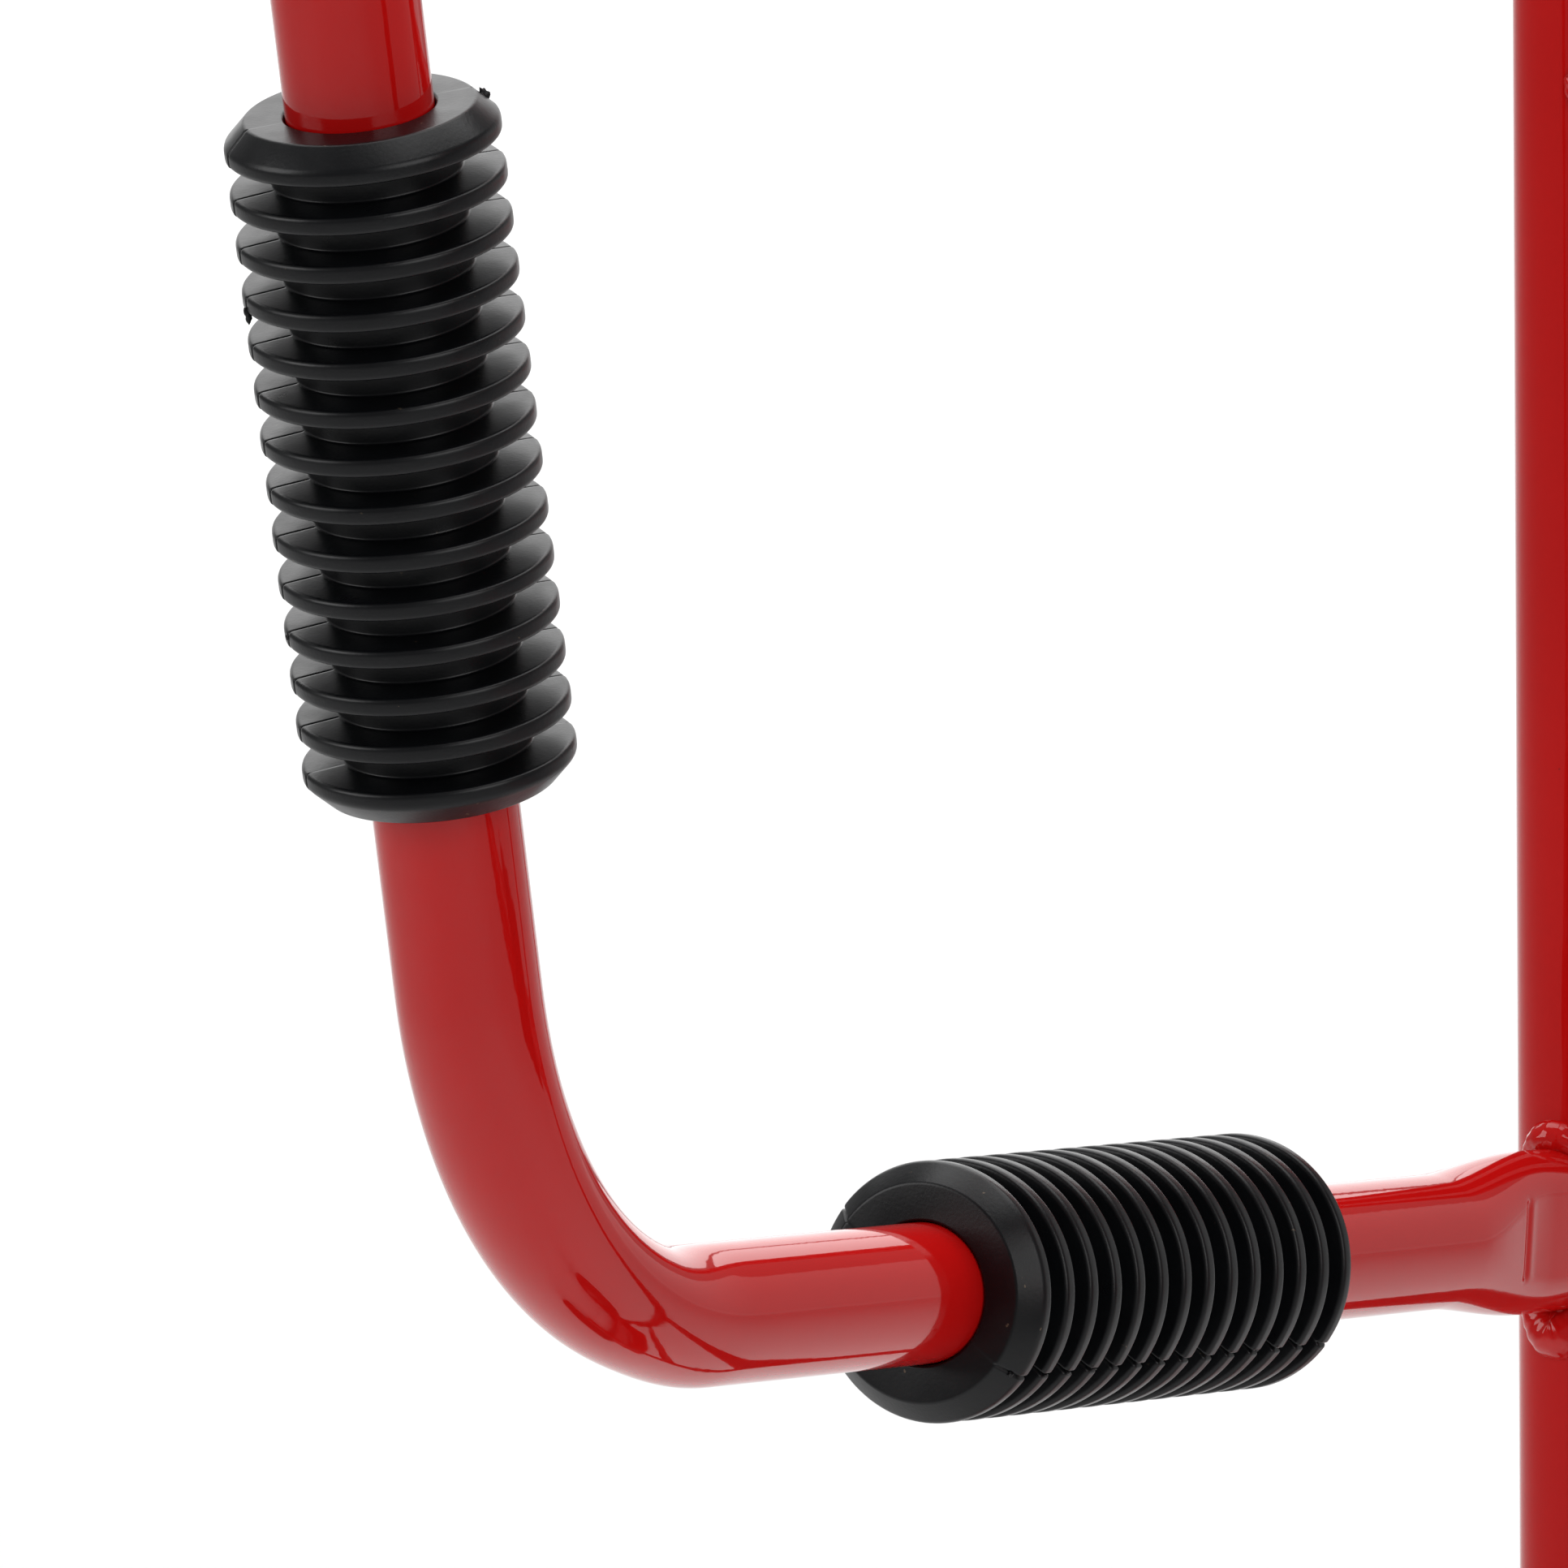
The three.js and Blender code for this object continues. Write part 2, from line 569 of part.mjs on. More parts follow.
for (const [side, label] of [[-1, "left"], [1, "right"]]) {
  const railX = side * (railSpacing / 2);
  const tubeMesh = mesh(`${label}_handle_tube`, handleTube, redPaint);
  tubeMesh.position.x = railX;
  truck.add(tubeMesh);

  const upright = lowerCorner.clone().addScaledVector(uprightDirection, grip.firstDiscOnUpright);
  const onX = (place) => place.clone().setX(railX);
  truck.add(placeGrip(`${label}_vertical_grip`, onX(upright), uprightDirection));
  truck.add(placeGrip(`${label}_horizontal_grip`, onX(onLeg(grip.firstDiscOnLeg)), legDirection));

  truck.add(mesh(`${label}_lower_rail`, lowerRail(side), redPaint));
  truck.add(mesh(`${label}_axle_bracket`, axleBracket(side), redPaint));

  splice.boltHeights.forEach((z, i) => {
    const reach = 2 * (tube.radius + gap);
    const bolt = mesh(`${label}_splice_bolt_${i + 1}`, hexBolt(largeBolt, reach), zinc);
    const nut = mesh(`${label}_splice_nut_${i + 1}`, hexNut(largeBolt), zinc);
    bolt.position.set(railX + side * (reach / 2), 0, z);
    nut.position.set(railX - side * (reach / 2), 0, z);
    if (side > 0) [bolt, nut].forEach((piece) => piece.rotateZ(Math.PI));
    truck.add(bolt, nut);
  });

  toe.boltHeights.forEach((z, i) => {
    const reach = toe.thickness + 2 * tube.radius + 3 * gap;
    const bolt = mesh(`${label}_toe_bolt_${i + 1}`, hexBolt(largeBolt, reach), zinc);
    const nut = mesh(`${label}_toe_nut_${i + 1}`, hexNut(largeBolt), zinc);
    bolt.position.set(railX, toeFace + gap, z);
    nut.position.set(railX, -tube.radius - gap, z);
    [bolt, nut].forEach((piece) => piece.rotateZ(-Math.PI / 2));
    truck.add(bolt, nut);
  });

  const wheelGroup = makeWheel(`${label}_wheel`);
  wheelGroup.position.set(side * wheel.x, axle.y, axle.height);
  if (side < 0) wheelGroup.rotateZ(Math.PI);
  truck.add(wheelGroup);

  const onAxle = (name, piece) => {
    const made = mesh(`${label}_${name}`, piece, zinc);
    made.position.set(0, axle.y, axle.height);
    if (side < 0) made.rotateZ(Math.PI);
    truck.add(made);
  };
  const cheekAt = railSpacing / 2 + cheekOutside + gap;
  const bearingFace = wheel.x - wheel.hubHalf + wheel.bearingInset - gap;
  const washerAt = wheel.x + wheel.hubHalf + gap;
  onAxle("axle_spacer", plainRing(cheekAt, bearingFace, axle.bore, spacerRadius));
  onAxle("axle_washer", plainRing(washerAt, washerAt + washer.thickness, axle.bore, washer.radius));
  onAxle("cotter_pin", cotterPin());
}

for (const [name, height] of Object.entries(strapHeights)) {
  truck.add(mesh(name, curvedStrap(height), redPaint));
}
truck.add(mesh("top_crossbar", topCrossbar(), redPaint));
truck.add(mesh("toe_plate", toePlate(), redPaint));

const axleRod = rod("x", axle.radius, 2 * axle.halfLength, 0, axle.y, axle.height, 16);
const pinHole = (side) => rod("z", cotter.hole, through, side * cotter.x, axle.y, axle.height, 8);
truck.add(mesh("axle", cut(axleRod, pinHole(-1), pinHole(1)), zinc));

// Moves the truck so that the origin is midway between its front and its rear.
const extent = new THREE.Box3().setFromObject(truck, true);
truck.position.y = -(extent.min.y + extent.max.y) / 2;

export default truck;
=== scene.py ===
"""The finished look of a two-wheeled hand truck with loop handles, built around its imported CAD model."""
import json
import random
from collections import namedtuple
from math import acos, asin, atan2, copysign, cos, degrees, exp, hypot, pi, radians, sin, sqrt, tan

import bmesh
import bpy
import numpy as np
from mathutils import Matrix, Vector


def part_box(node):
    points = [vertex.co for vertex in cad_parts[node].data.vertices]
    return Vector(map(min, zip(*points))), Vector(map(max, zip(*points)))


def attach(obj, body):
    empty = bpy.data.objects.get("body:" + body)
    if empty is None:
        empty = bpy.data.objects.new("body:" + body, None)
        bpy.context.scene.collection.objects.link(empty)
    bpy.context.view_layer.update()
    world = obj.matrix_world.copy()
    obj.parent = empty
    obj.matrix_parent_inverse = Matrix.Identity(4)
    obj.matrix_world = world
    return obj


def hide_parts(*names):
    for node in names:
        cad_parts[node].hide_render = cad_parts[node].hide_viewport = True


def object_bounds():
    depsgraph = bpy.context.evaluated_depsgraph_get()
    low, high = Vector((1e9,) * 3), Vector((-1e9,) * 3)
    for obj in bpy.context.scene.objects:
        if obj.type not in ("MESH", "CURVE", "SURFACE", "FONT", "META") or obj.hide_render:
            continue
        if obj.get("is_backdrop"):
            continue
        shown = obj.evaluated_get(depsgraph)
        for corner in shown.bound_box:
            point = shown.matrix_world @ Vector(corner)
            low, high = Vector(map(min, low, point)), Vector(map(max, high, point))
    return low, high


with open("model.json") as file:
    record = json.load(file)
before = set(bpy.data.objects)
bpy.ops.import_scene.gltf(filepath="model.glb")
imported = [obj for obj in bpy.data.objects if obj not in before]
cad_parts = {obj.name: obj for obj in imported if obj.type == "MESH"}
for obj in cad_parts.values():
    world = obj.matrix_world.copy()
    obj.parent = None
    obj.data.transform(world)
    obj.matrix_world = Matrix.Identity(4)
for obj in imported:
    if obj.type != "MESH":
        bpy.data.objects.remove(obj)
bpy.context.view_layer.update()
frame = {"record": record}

MM = 0.001
SIDES = (("left", -1), ("right", 1))

# ---- driving dimensions, in metres and degrees
TUBE_R = 12.4 * MM
BEND_R = 86 * MM
# a bent tube is this much thinner in the bend's plane, and wider across it
BEND_FLATTEN, BEND_WIDEN = 0.075, 0.02

WELD_HEIGHT = 935 * MM
# the CAD's bends are polygons: with its 372 mm upright, this rounder loop would top the CAD box by 0.4 mm
LEG_LENGTH, UPRIGHT_LENGTH = 385 * MM, 371.5 * MM
LEG_SLOPE, LEAN = radians(7.3), radians(11.2)
PRESSED_TALL, PRESSED_THICK = 30.3 * MM, 16.2 * MM
FLAT_TO, FLAT_FROM = 27 * MM, 63 * MM
CREASE_AT, CREASE_HALF, CREASE_DEPTH, CREASE_WIDTH = 39.2 * MM, 8 * MM, 0.60 * MM, 1.15 * MM
# the bent part and the pressed part overlap under the lower grip, at these distances from the weld
BENT_ENDS, PRESSED_STARTS, PRESSED_SLIM_FROM = 190 * MM, 194 * MM, 185 * MM
NECK_R, SPLICE_HEIGHT, SPLICE_INSERT = 10.5 * MM, 640 * MM, 75 * MM

GRIP_R, GRIP_CORE_R, GRIP_BORE_R = 23 * MM, 15.8 * MM, 12.6 * MM
GRIP_PITCH, GRIP_DISCS, DISC_THICKNESS = 8.38 * MM, 12, 3.1 * MM
FLANGE, FLANGE_CHAMFER = 6.3 * MM, 3.7 * MM
FIRST_DISC_ON_UPRIGHT, FIRST_DISC_ON_LEG = 204.3 * MM, 233.9 * MM

GAP = 0.3 * MM
RAIL_R, RAIL_BORE_R = 12.5 * MM, 11.1 * MM
RAIL_DEPTH_AT_TOE_BOLT = 25.9 * MM
SHEET = 4 * MM
WEB_X = 160 * MM
STRAP_TALL, STRAP_THICK, STRAP_SAG = 40 * MM, 3 * MM, 34 * MM
STRAP_HALF_SPAN, STRAP_REACH = 146 * MM, 138.4 * MM
TOP_BAR_R, TOP_BAR_WALL, TOP_BAR_REACH = 11 * MM, 1.5 * MM, 139 * MM
# how far from the rail's axis the weld beads lie
STRAP_WELD_R, TOP_BAR_WELD_R, BRACKET_WELD_X = 12.2 * MM, 12.1 * MM, 13.4 * MM
BRACKET_INSIDE, BRACKET_OUTSIDE, BRACKET_NOSE_R = 12.8 * MM, 15.8 * MM, 27 * MM
AXLE_R, AXLE_HOLE_R, COTTER_X = 8 * MM, 8.4 * MM, 262 * MM

Bolt = namedtuple("Bolt", "across head radius tail pitch")  # tail is what goes past the held parts
FRAME_BOLT = Bolt(13 * MM, 5.3 * MM, 4 * MM, 8 * MM, 1.25 * MM)
RIM_BOLT = Bolt(10 * MM, 4 * MM, 3 * MM, 6 * MM, 1 * MM)
FRAME_NUT, RIM_NUT, RIM_SHEETS = 6.5 * MM, 5 * MM, 5.3 * MM
BEARING_X, BEARING_HALF = 31 * MM, 5.5 * MM
VALVE_FROM, VALVE_TO = (60 * MM, 0, 6 * MM), (32 * MM, 0, 34 * MM)

low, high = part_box("left_lower_rail")
RAIL_X = -(low.x + high.x) / 2
RAIL_Y = (low.y + high.y) / 2
low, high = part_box("axle")
AXLE = (low + high) / 2
low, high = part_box("right_wheel_tyre")
WHEEL_X = (low.x + high.x) / 2


# ---- materials
def linked(tree, kind, settings=None, **inputs):
    """Adds a node. An input is a number, a colour or another node's output."""
    node = tree.nodes.new(kind)
    for key, value in (settings or {}).items():
        setattr(node, key, value)
    for key, value in inputs.items():
        socket = node.inputs[int(key[1:])] if key[0] == "_" else node.inputs[key.replace("_", " ")]
        if isinstance(value, bpy.types.NodeSocket):
            tree.links.new(value, socket)
        else:
            socket.default_value = value
    return node


def product(a, b):
    return linked(a.id_data, "ShaderNodeMath", {"operation": "MULTIPLY"}, _0=a, _1=b).outputs[0]


def ramp(factor, *stops):
    """A ramp between (position, grey or colour) stops."""
    node = linked(factor.id_data, "ShaderNodeValToRGB", None, Fac=factor)
    elements = node.color_ramp.elements
    while len(elements) < len(stops):
        elements.new(0.5)
    for element, (position, value) in zip(elements, stops):
        element.position = position
        element.color = (*value, 1) if isinstance(value, tuple) else (value, value, value, 1)
    return node.outputs[0]


def mixed(factor, a, b):
    """A colour between a and b, each a colour or another node's output."""
    a, b = [(*value, 1) if isinstance(value, tuple) else value for value in (a, b)]
    return linked(factor.id_data, "ShaderNodeMix", {"data_type": "RGBA"}, _0=factor, _6=a, _7=b).outputs[2]


def new_material(name, **settings):
    """A Principled material; settings are its sockets that are the same all over."""
    material = bpy.data.materials.new(name)
    material.use_nodes = True
    nodes = material.node_tree.nodes
    shader = nodes["Principled BSDF"]
    for key, value in settings.items():
        shader.inputs[key.replace("_", " ")].default_value = value
    place = nodes.new("ShaderNodeTexCoord").outputs["Object"]
    return material, shader, place


def noise(place, scale, detail, rough=0.5, stretch=None):
    tree = place.id_data
    if stretch:
        place = linked(tree, "ShaderNodeMapping", None, Vector=place, Scale=stretch).outputs[0]
    settings = {"Vector": place, "Scale": scale, "Detail": detail, "Roughness": rough}
    return linked(tree, "ShaderNodeTexNoise", None, **settings).outputs[0]


def bump(shader, height, strength, distance, normal="Normal"):
    made = linked(shader.id_data, "ShaderNodeBump", None, Height=height, Strength=strength, Distance=distance)
    shader.id_data.links.new(made.outputs[0], shader.inputs[normal])


def colour(shader, share, a, b):
    """Base colour between a and b."""
    shader.id_data.links.new(mixed(share, a, b), shader.inputs["Base Color"])


def roughness(shader, texture, smooth, rough):
    """Roughness by a texture, between two (texture value, roughness) stops."""
    shader.id_data.links.new(ramp(texture, smooth, rough), shader.inputs["Roughness"])


def red_paint(name, scuffed=False):
    """Glossy enamel under a clear skin, a little uneven, with a few chips; scuffed, it is also scratched."""
    material, shader, place = new_material(
        name, Specular_IOR_Level=0.0, Coat_Weight=1.0, Coat_Roughness=0.045, Coat_IOR=1.45
    )
    cloud = noise(place, 9, 4)
    tint = ramp(cloud, (0.3, 0.0), (0.7, 1.0))
    base = mixed(tint, (0.47, 0.0035, 0.0032), (0.56, 0.0060, 0.0055))
    if scuffed:
        scratches = ramp(noise(place, 60, 4, 0.7, (1, 12, 1)), (0.66, 0.0), (0.70, 1.0))
        worn = ramp(noise(place, 12, 3), (0.5, 0.0), (0.65, 1.0))
        base = mixed(product(scratches, worn), base, (0.20, 0.055, 0.05))
    specks = ramp(noise(place, 900, 1), (0.76, 0.0), (0.80, 1.0))
    patches = ramp(noise(place, 14, 2), (0.60, 0.0), (0.70, 1.0))
    chipped = product(specks, patches)
    colour(shader, chipped, base, (0.16, 0.01, 0.01))
    roughness(shader, noise(place, 40, 3), (0.3, 0.32), (0.8, 0.44))
    bump(shader, noise(place, 330, 2), 0.05, 0.0004)
    bump(shader, noise(place, 160, 2), 0.035, 0.0006, "Coat Normal")
    return material


def grip_plastic():
    material, shader, place = new_material("black_moulded_grip", Specular_IOR_Level=0.3)
    cloud = noise(place, 60, 4)
    base = mixed(cloud, (0.0018, 0.0020, 0.0026), (0.0048, 0.0053, 0.0064))
    dust = ramp(noise(place, 700, 2), (0.735, 0.0), (0.77, 1.0))
    dusty = product(dust, ramp(noise(place, 90, 2), (0.52, 0.0), (0.6, 1.0)))
    colour(shader, dusty, base, (0.10, 0.075, 0.05))
    roughness(shader, noise(place, 130, 4), (0.25, 0.26), (0.75, 0.40))
    bump(shader, noise(place, 1500, 3), 0.12, 0.0002)
    return material


def tyre_rubber():
    material, shader, place = new_material("tyre_rubber", Specular_IOR_Level=0.35)
    dust = ramp(noise(place, 22, 5, 0.6), (0.42, 0.0), (0.75, 1.0))
    colour(shader, dust, (0.012, 0.012, 0.012), (0.030, 0.029, 0.027))
    roughness(shader, noise(place, 70, 3), (0.3, 0.62), (0.7, 0.85))
    bump(shader, noise(place, 900, 3), 0.25, 0.0003)
    return material


def rim_enamel():
    material, shader, place = new_material("rim_enamel", Coat_Weight=0.5, Coat_Roughness=0.08)
    grime = ramp(noise(place, 35, 5, 0.65), (0.55, 0.0), (0.8, 1.0))
    colour(shader, grime, (0.66, 0.66, 0.62), (0.45, 0.43, 0.38))
    roughness(shader, noise(place, 90, 3), (0.3, 0.28), (0.7, 0.42))
    bump(shader, noise(place, 300, 2), 0.05, 0.0003)
    return material


def metal(name, dark, light, smooth, rough, grain):
    material, shader, place = new_material(name, Metallic=1.0)
    cloud = noise(place, 30, 4, 0.6)
    colour(shader, cloud, dark, light)
    streaks = noise(place, 90, 3, 0.6, grain)
    roughness(shader, streaks, (0.3, smooth), (0.7, rough))
    bump(shader, streaks, 0.03, 0.0002)
    return material


RED = red_paint("red_enamel")
TOE_RED = red_paint("toe_plate_enamel", scuffed=True)
GRIP = grip_plastic()
TYRE = tyre_rubber()
RIM = rim_enamel()
ZINC = metal("zinc_plate", (0.56, 0.56, 0.55), (0.70, 0.70, 0.68), 0.20, 0.32, (1, 1, 1))
BEARING = metal("bearing_steel", (0.38, 0.39, 0.40), (0.60, 0.60, 0.61), 0.18, 0.32, (0.2, 1, 1))


# ---- mesh work
def circle(count):
    """Even angles once round."""
    return np.linspace(0, 2 * pi, count, endpoint=False)


def shade(mesh, sharp):
    """Smooth shading, but crisp where the faces turn by more than sharp degrees."""
    mesh.polygons.foreach_set("use_smooth", [True] * len(mesh.polygons))
    mesh.set_sharp_from_angle(angle=radians(sharp))


def build(name, points, faces, sharp=32.0):
    """A smooth-shaded mesh object."""
    mesh = bpy.data.meshes.new(name)
    mesh.from_pydata(np.asarray(points, float).tolist(), [], [list(map(int, f)) for f in faces])
    work = bmesh.new()
    work.from_mesh(mesh)
    bmesh.ops.remove_doubles(work, verts=work.verts, dist=1e-7)
    bmesh.ops.recalc_face_normals(work, faces=work.faces)
    work.to_mesh(mesh)
    work.free()
    shade(mesh, sharp)
    thing = bpy.data.objects.new(name, mesh)
    bpy.context.scene.collection.objects.link(thing)
    return thing


def strip(rings, closed_path=False):
    """Points and faces of a skin over closed rings: (stations, points round, 3)."""
    rings = np.asarray(rings, float)
    stations, around = rings.shape[:2]
    faces = []
    for i in range(stations if closed_path else stations - 1):
        a, b = i * around, ((i + 1) % stations) * around
        faces += [(a + j, a + (j + 1) % around, b + (j + 1) % around, b + j) for j in range(around)]
    if not closed_path:
        faces.append(tuple(range(around)))
        faces.append(tuple(range((stations - 1) * around, stations * around)))
    return rings.reshape(-1, 3), faces


def rounded(profile, usual, steps=3):
    """Rounds each corner of a closed (axial, radial) outline, by no more than its edges allow.
    A corner may bring a third number, its own radius."""
    radii = [p[2] if len(p) > 2 else usual for p in profile]
    points = [np.array(p[:2], float) for p in profile]
    count = len(points)
    smooth = []
    for i, corner in enumerate(points):
        before, after = points[i - 1] - corner, points[(i + 1) % count] - corner
        room = 0.45 * min(np.linalg.norm(before), np.linalg.norm(after))
        before, after = before / np.linalg.norm(before), after / np.linalg.norm(after)
        half = acos(max(-1.0, min(1.0, float(before @ after)))) / 2
        reach = min(radii[i] / max(tan(half), 1e-3), room)
        start, end = corner + before * reach, corner + after * reach
        if half > radians(84):
            smooth.append(corner)
            continue
        for k in range(steps + 1):
            t = k / steps
            smooth.append((1 - t) ** 2 * start + 2 * t * (1 - t) * corner + t ** 2 * end)
    return smooth


def turned_points(profile, segments):
    """Points and faces of a closed outline turned round local Z, in equal steps or at the given angles."""
    outline = np.array(profile, float)
    angles = circle(segments) if isinstance(segments, int) else segments
    rings = np.zeros((len(angles), len(outline), 3))
    rings[:, :, 0] = np.cos(angles)[:, None] * outline[:, 1]
    rings[:, :, 1] = np.sin(angles)[:, None] * outline[:, 1]
    rings[:, :, 2] = outline[:, 0]
    return strip(rings, closed_path=True)


def turned(profile, corner, segments):
    """A turned shape with rounded corners."""
    return turned_points(rounded(profile, corner), segments)


def moved(shape, matrix):
    """A shape, which is (points, faces), moved by a matrix."""
    rotation, shift = np.array(matrix.to_3x3()), np.array(matrix.translation)
    return np.asarray(shape[0], float) @ rotation.T + shift, shape[1]


def joined(parts):
    """Puts several shapes into one."""
    points, faces, offset = [], [], 0
    for some, these in parts:
        points.append(np.asarray(some, float))
        faces += [tuple(i + offset for i in face) for face in these]
        offset += len(some)
    return np.concatenate(points), faces


def combine(thing, other, operation):
    """Joins other into thing, or cuts it away, and removes other."""
    modifier = thing.modifiers.new("combine", "BOOLEAN")
    modifier.operation, modifier.solver, modifier.object = operation, "EXACT", other
    graph = bpy.context.evaluated_depsgraph_get()
    mesh = bpy.data.meshes.new_from_object(thing.evaluated_get(graph))
    thing.modifiers.clear()
    thing.data = mesh
    bpy.data.objects.remove(other)


def axis_matrix(origin, direction, turn=0.0):
    """Local Z onto direction, at origin, turned round it."""
    aim = Vector(direction).to_track_quat("Z", "Y").to_matrix().to_4x4()
    return Matrix.Translation(origin) @ aim @ Matrix.Rotation(turn, 4, "Z")


def owner(node):
    bodies = frame["record"]["behaviour"]["bodies"]
    return next(body for body, nodes in bodies.items() if node in nodes)


def dress(thing, material, body, *nodes):
    """Gives a piece its material and body, and hides the CAD nodes it stands for."""
    thing.data.materials.clear()
    thing.data.materials.append(material)
    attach(thing, body)
    if nodes:
        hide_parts(*nodes)


def stand_for(node, shape, material, sharp=32.0):
    """A piece that replaces one CAD node."""
    dress(build(node + "_shape", *shape, sharp=sharp), material, owner(node), node)


def lathe_for(node, profile, matrix, material, segments, corner):
    """A turned piece that replaces one CAD node."""
    stand_for(node, moved(turned(profile, corner, segments), matrix), material)


# ---- the loop handles
def plane_vector(y, z):
    return np.array((0.0, y, z))


LEG_WAY = plane_vector(-cos(LEG_SLOPE), sin(LEG_SLOPE))
UPRIGHT_WAY = plane_vector(-sin(LEAN), cos(LEAN))
WELD_POINT = plane_vector(RAIL_Y, WELD_HEIGHT)
LOWER_CORNER = WELD_POINT + LEG_WAY * LEG_LENGTH
UPPER_CORNER = LOWER_CORNER + UPRIGHT_WAY * UPRIGHT_LENGTH
RAIL_TOP = plane_vector(RAIL_Y, UPPER_CORNER[2] + (UPPER_CORNER[1] - RAIL_Y) * tan(LEG_SLOPE))


def smoothstep(value, start, end):
    t = np.clip((value - start) / (end - start), 0.0, 1.0)
    return t * t * (3 - 2 * t)


def unit(vector):
    return vector / np.linalg.norm(vector)


def bent_path(corners):
    """Stations (place, direction, share of full bend) along a tube that is bent at its inner corners."""
    step, bend_step = 4 * MM, radians(2)
    stations = []
    start = corners[0]
    for i in range(1, len(corners)):
        way = unit(corners[i] - corners[i - 1])
        last = i == len(corners) - 1
        following = way if last else unit(corners[i + 1] - corners[i])
        turn = acos(float(np.clip(way @ following, -1, 1)))
        straight_end = corners[i] if last else corners[i] - way * BEND_R * tan(turn / 2)
        length = np.linalg.norm(straight_end - start)
        count = max(2, round(length / step))
        stations += [(start + way * length * k / count, way, 0.0) for k in range(count)]
        if last:
            stations.append((straight_end, way, 0.0))
            break
        inward = unit(following - way * cos(turn))
        centre = straight_end + inward * BEND_R
        count = round(turn / bend_step)
        for k in range(count):
            angle = turn * k / count
            share = smoothstep(min(k, count - k) / count, 0.0, 0.22)
            place = centre - inward * BEND_R * cos(angle) + way * BEND_R * sin(angle)
            stations.append((place, way * cos(angle) + inward * sin(angle), float(share)))
        start = corners[i] + following * BEND_R * tan(turn / 2)
    return stations


AROUND = 72
RING = circle(AROUND) + pi / AROUND


def tube_ring(place, way, in_plane, across, straight=0.0):
    """One ring of a tube in the plane x = 0: two half ellipses, moved apart by straight each way."""
    side = np.array((0.0, -way[2], way[1]))
    rise = in_plane * np.sin(RING) + straight * np.sign(np.sin(RING))
    return place + np.outer(rise, side) + np.outer(across * np.cos(RING), (1.0, 0.0, 0.0))


def handle_shape():
    foot = plane_vector(RAIL_Y, SPLICE_HEIGHT - SPLICE_INSERT)
    under_grip = WELD_POINT + LEG_WAY * BENT_ENDS
    rings = []
    for place, way, share in bent_path([foot, RAIL_TOP, UPPER_CORNER, LOWER_CORNER, under_grip]):
        in_rail = abs(place[1] - RAIL_Y) < 1e-6
        neck = NECK_R + (TUBE_R - NECK_R) * smoothstep(place[2], SPLICE_HEIGHT, SPLICE_HEIGHT + 5 * MM)
        radius = neck if in_rail else TUBE_R
        thin, wide = radius * (1 - BEND_FLATTEN * share), radius * (1 + BEND_WIDEN * share)
        rings.append(tube_ring(place, way, thin, wide))
    bent_part = strip(rings)

    rings = []
    plain, pressed = np.linspace(PRESSED_STARTS, 62 * MM, 20), np.linspace(60 * MM, 10 * MM, 101)
    for distance in np.concatenate([plain, pressed]):
        share = float(1 - smoothstep(distance, FLAT_TO, FLAT_FROM))
        end_radius = TUBE_R * (1 - share) + share * PRESSED_THICK / 2
        straight = share * (PRESSED_TALL - PRESSED_THICK) / 2
        inset = 0.03 * MM if distance > PRESSED_SLIM_FROM else 0.0
        ring = tube_ring(np.zeros(3), -LEG_WAY, end_radius - inset, end_radius - inset, straight)
        # the press leaves a short upright crease in each flat face; beyond it the face lies a little lower
        rise = ring @ np.array((0, sin(LEG_SLOPE), cos(LEG_SLOPE)))
        middle = 1 - smoothstep(np.abs(rise), CREASE_HALF - 2 * MM, CREASE_HALF)
        crease = CREASE_DEPTH * exp(-((distance - CREASE_AT) / CREASE_WIDTH) ** 2)
        step = 0.25 * MM * float(1 - smoothstep(distance, CREASE_AT - 5 * MM, CREASE_AT))
        ring[:, 0] -= np.sign(ring[:, 0]) * middle * (crease + step)
        rings.append(WELD_POINT + LEG_WAY * distance + ring)
    return bent_part, strip(rings)


def bead_shape(route, thickness, seed, lumpy):
    """A closed weld bead along a route, a rope of overlapping ripples, with its radius at each point."""
    generator = random.Random(seed)
    route = np.array([*route, route[0]], float)
    thickness = np.array([*thickness, thickness[0]], float)
    steps = np.linalg.norm(np.diff(route, axis=0), axis=1)
    travelled = np.concatenate([[0.0], np.cumsum(steps)])
    count = max(24, round(travelled[-1] / (0.4 * MM)))
    where = np.linspace(0, travelled[-1], count, endpoint=False)
    line = np.stack([np.interp(where, travelled, route[:, k]) for k in range(3)], axis=1)
    way = np.roll(line, -2, axis=0) - np.roll(line, 2, axis=0)
    way /= np.linalg.norm(way, axis=1)[:, None]
    turns = 2 * pi * where / travelled[-1]
    phases = [generator.uniform(0, 6.28) for _ in range(4)]
    waves = [max(1, round(travelled[-1] / length)) for length in (9 * MM, 4.3 * MM, 1.9 * MM)]
    swell = 0.10 * np.sin(waves[0] * turns + phases[0]) + 0.10 * np.sin(waves[1] * turns + phases[1])
    ripple = 0.09 * np.sin(waves[2] * turns + phases[2])
    radius = np.interp(where, travelled, thickness) * (1 + lumpy * (swell + ripple))
    angles = circle(24)
    rings = []
    for place, along, size, turn in zip(line, way, radius, turns):
        first = unit(np.cross(along, (0.31, 0.17, 0.93)))
        second = np.cross(along, first)
        lumps = 1 + lumpy * 0.08 * np.sin(3 * angles + waves[1] * turn + phases[3])
        lumps += lumpy * 0.06 * np.sin(5 * angles - waves[2] * turn)
        across, upward = size * lumps * np.cos(angles), size * lumps * np.sin(angles)
        rings.append(place + np.outer(across, first) + np.outer(upward, second))
    return strip(rings, closed_path=True)


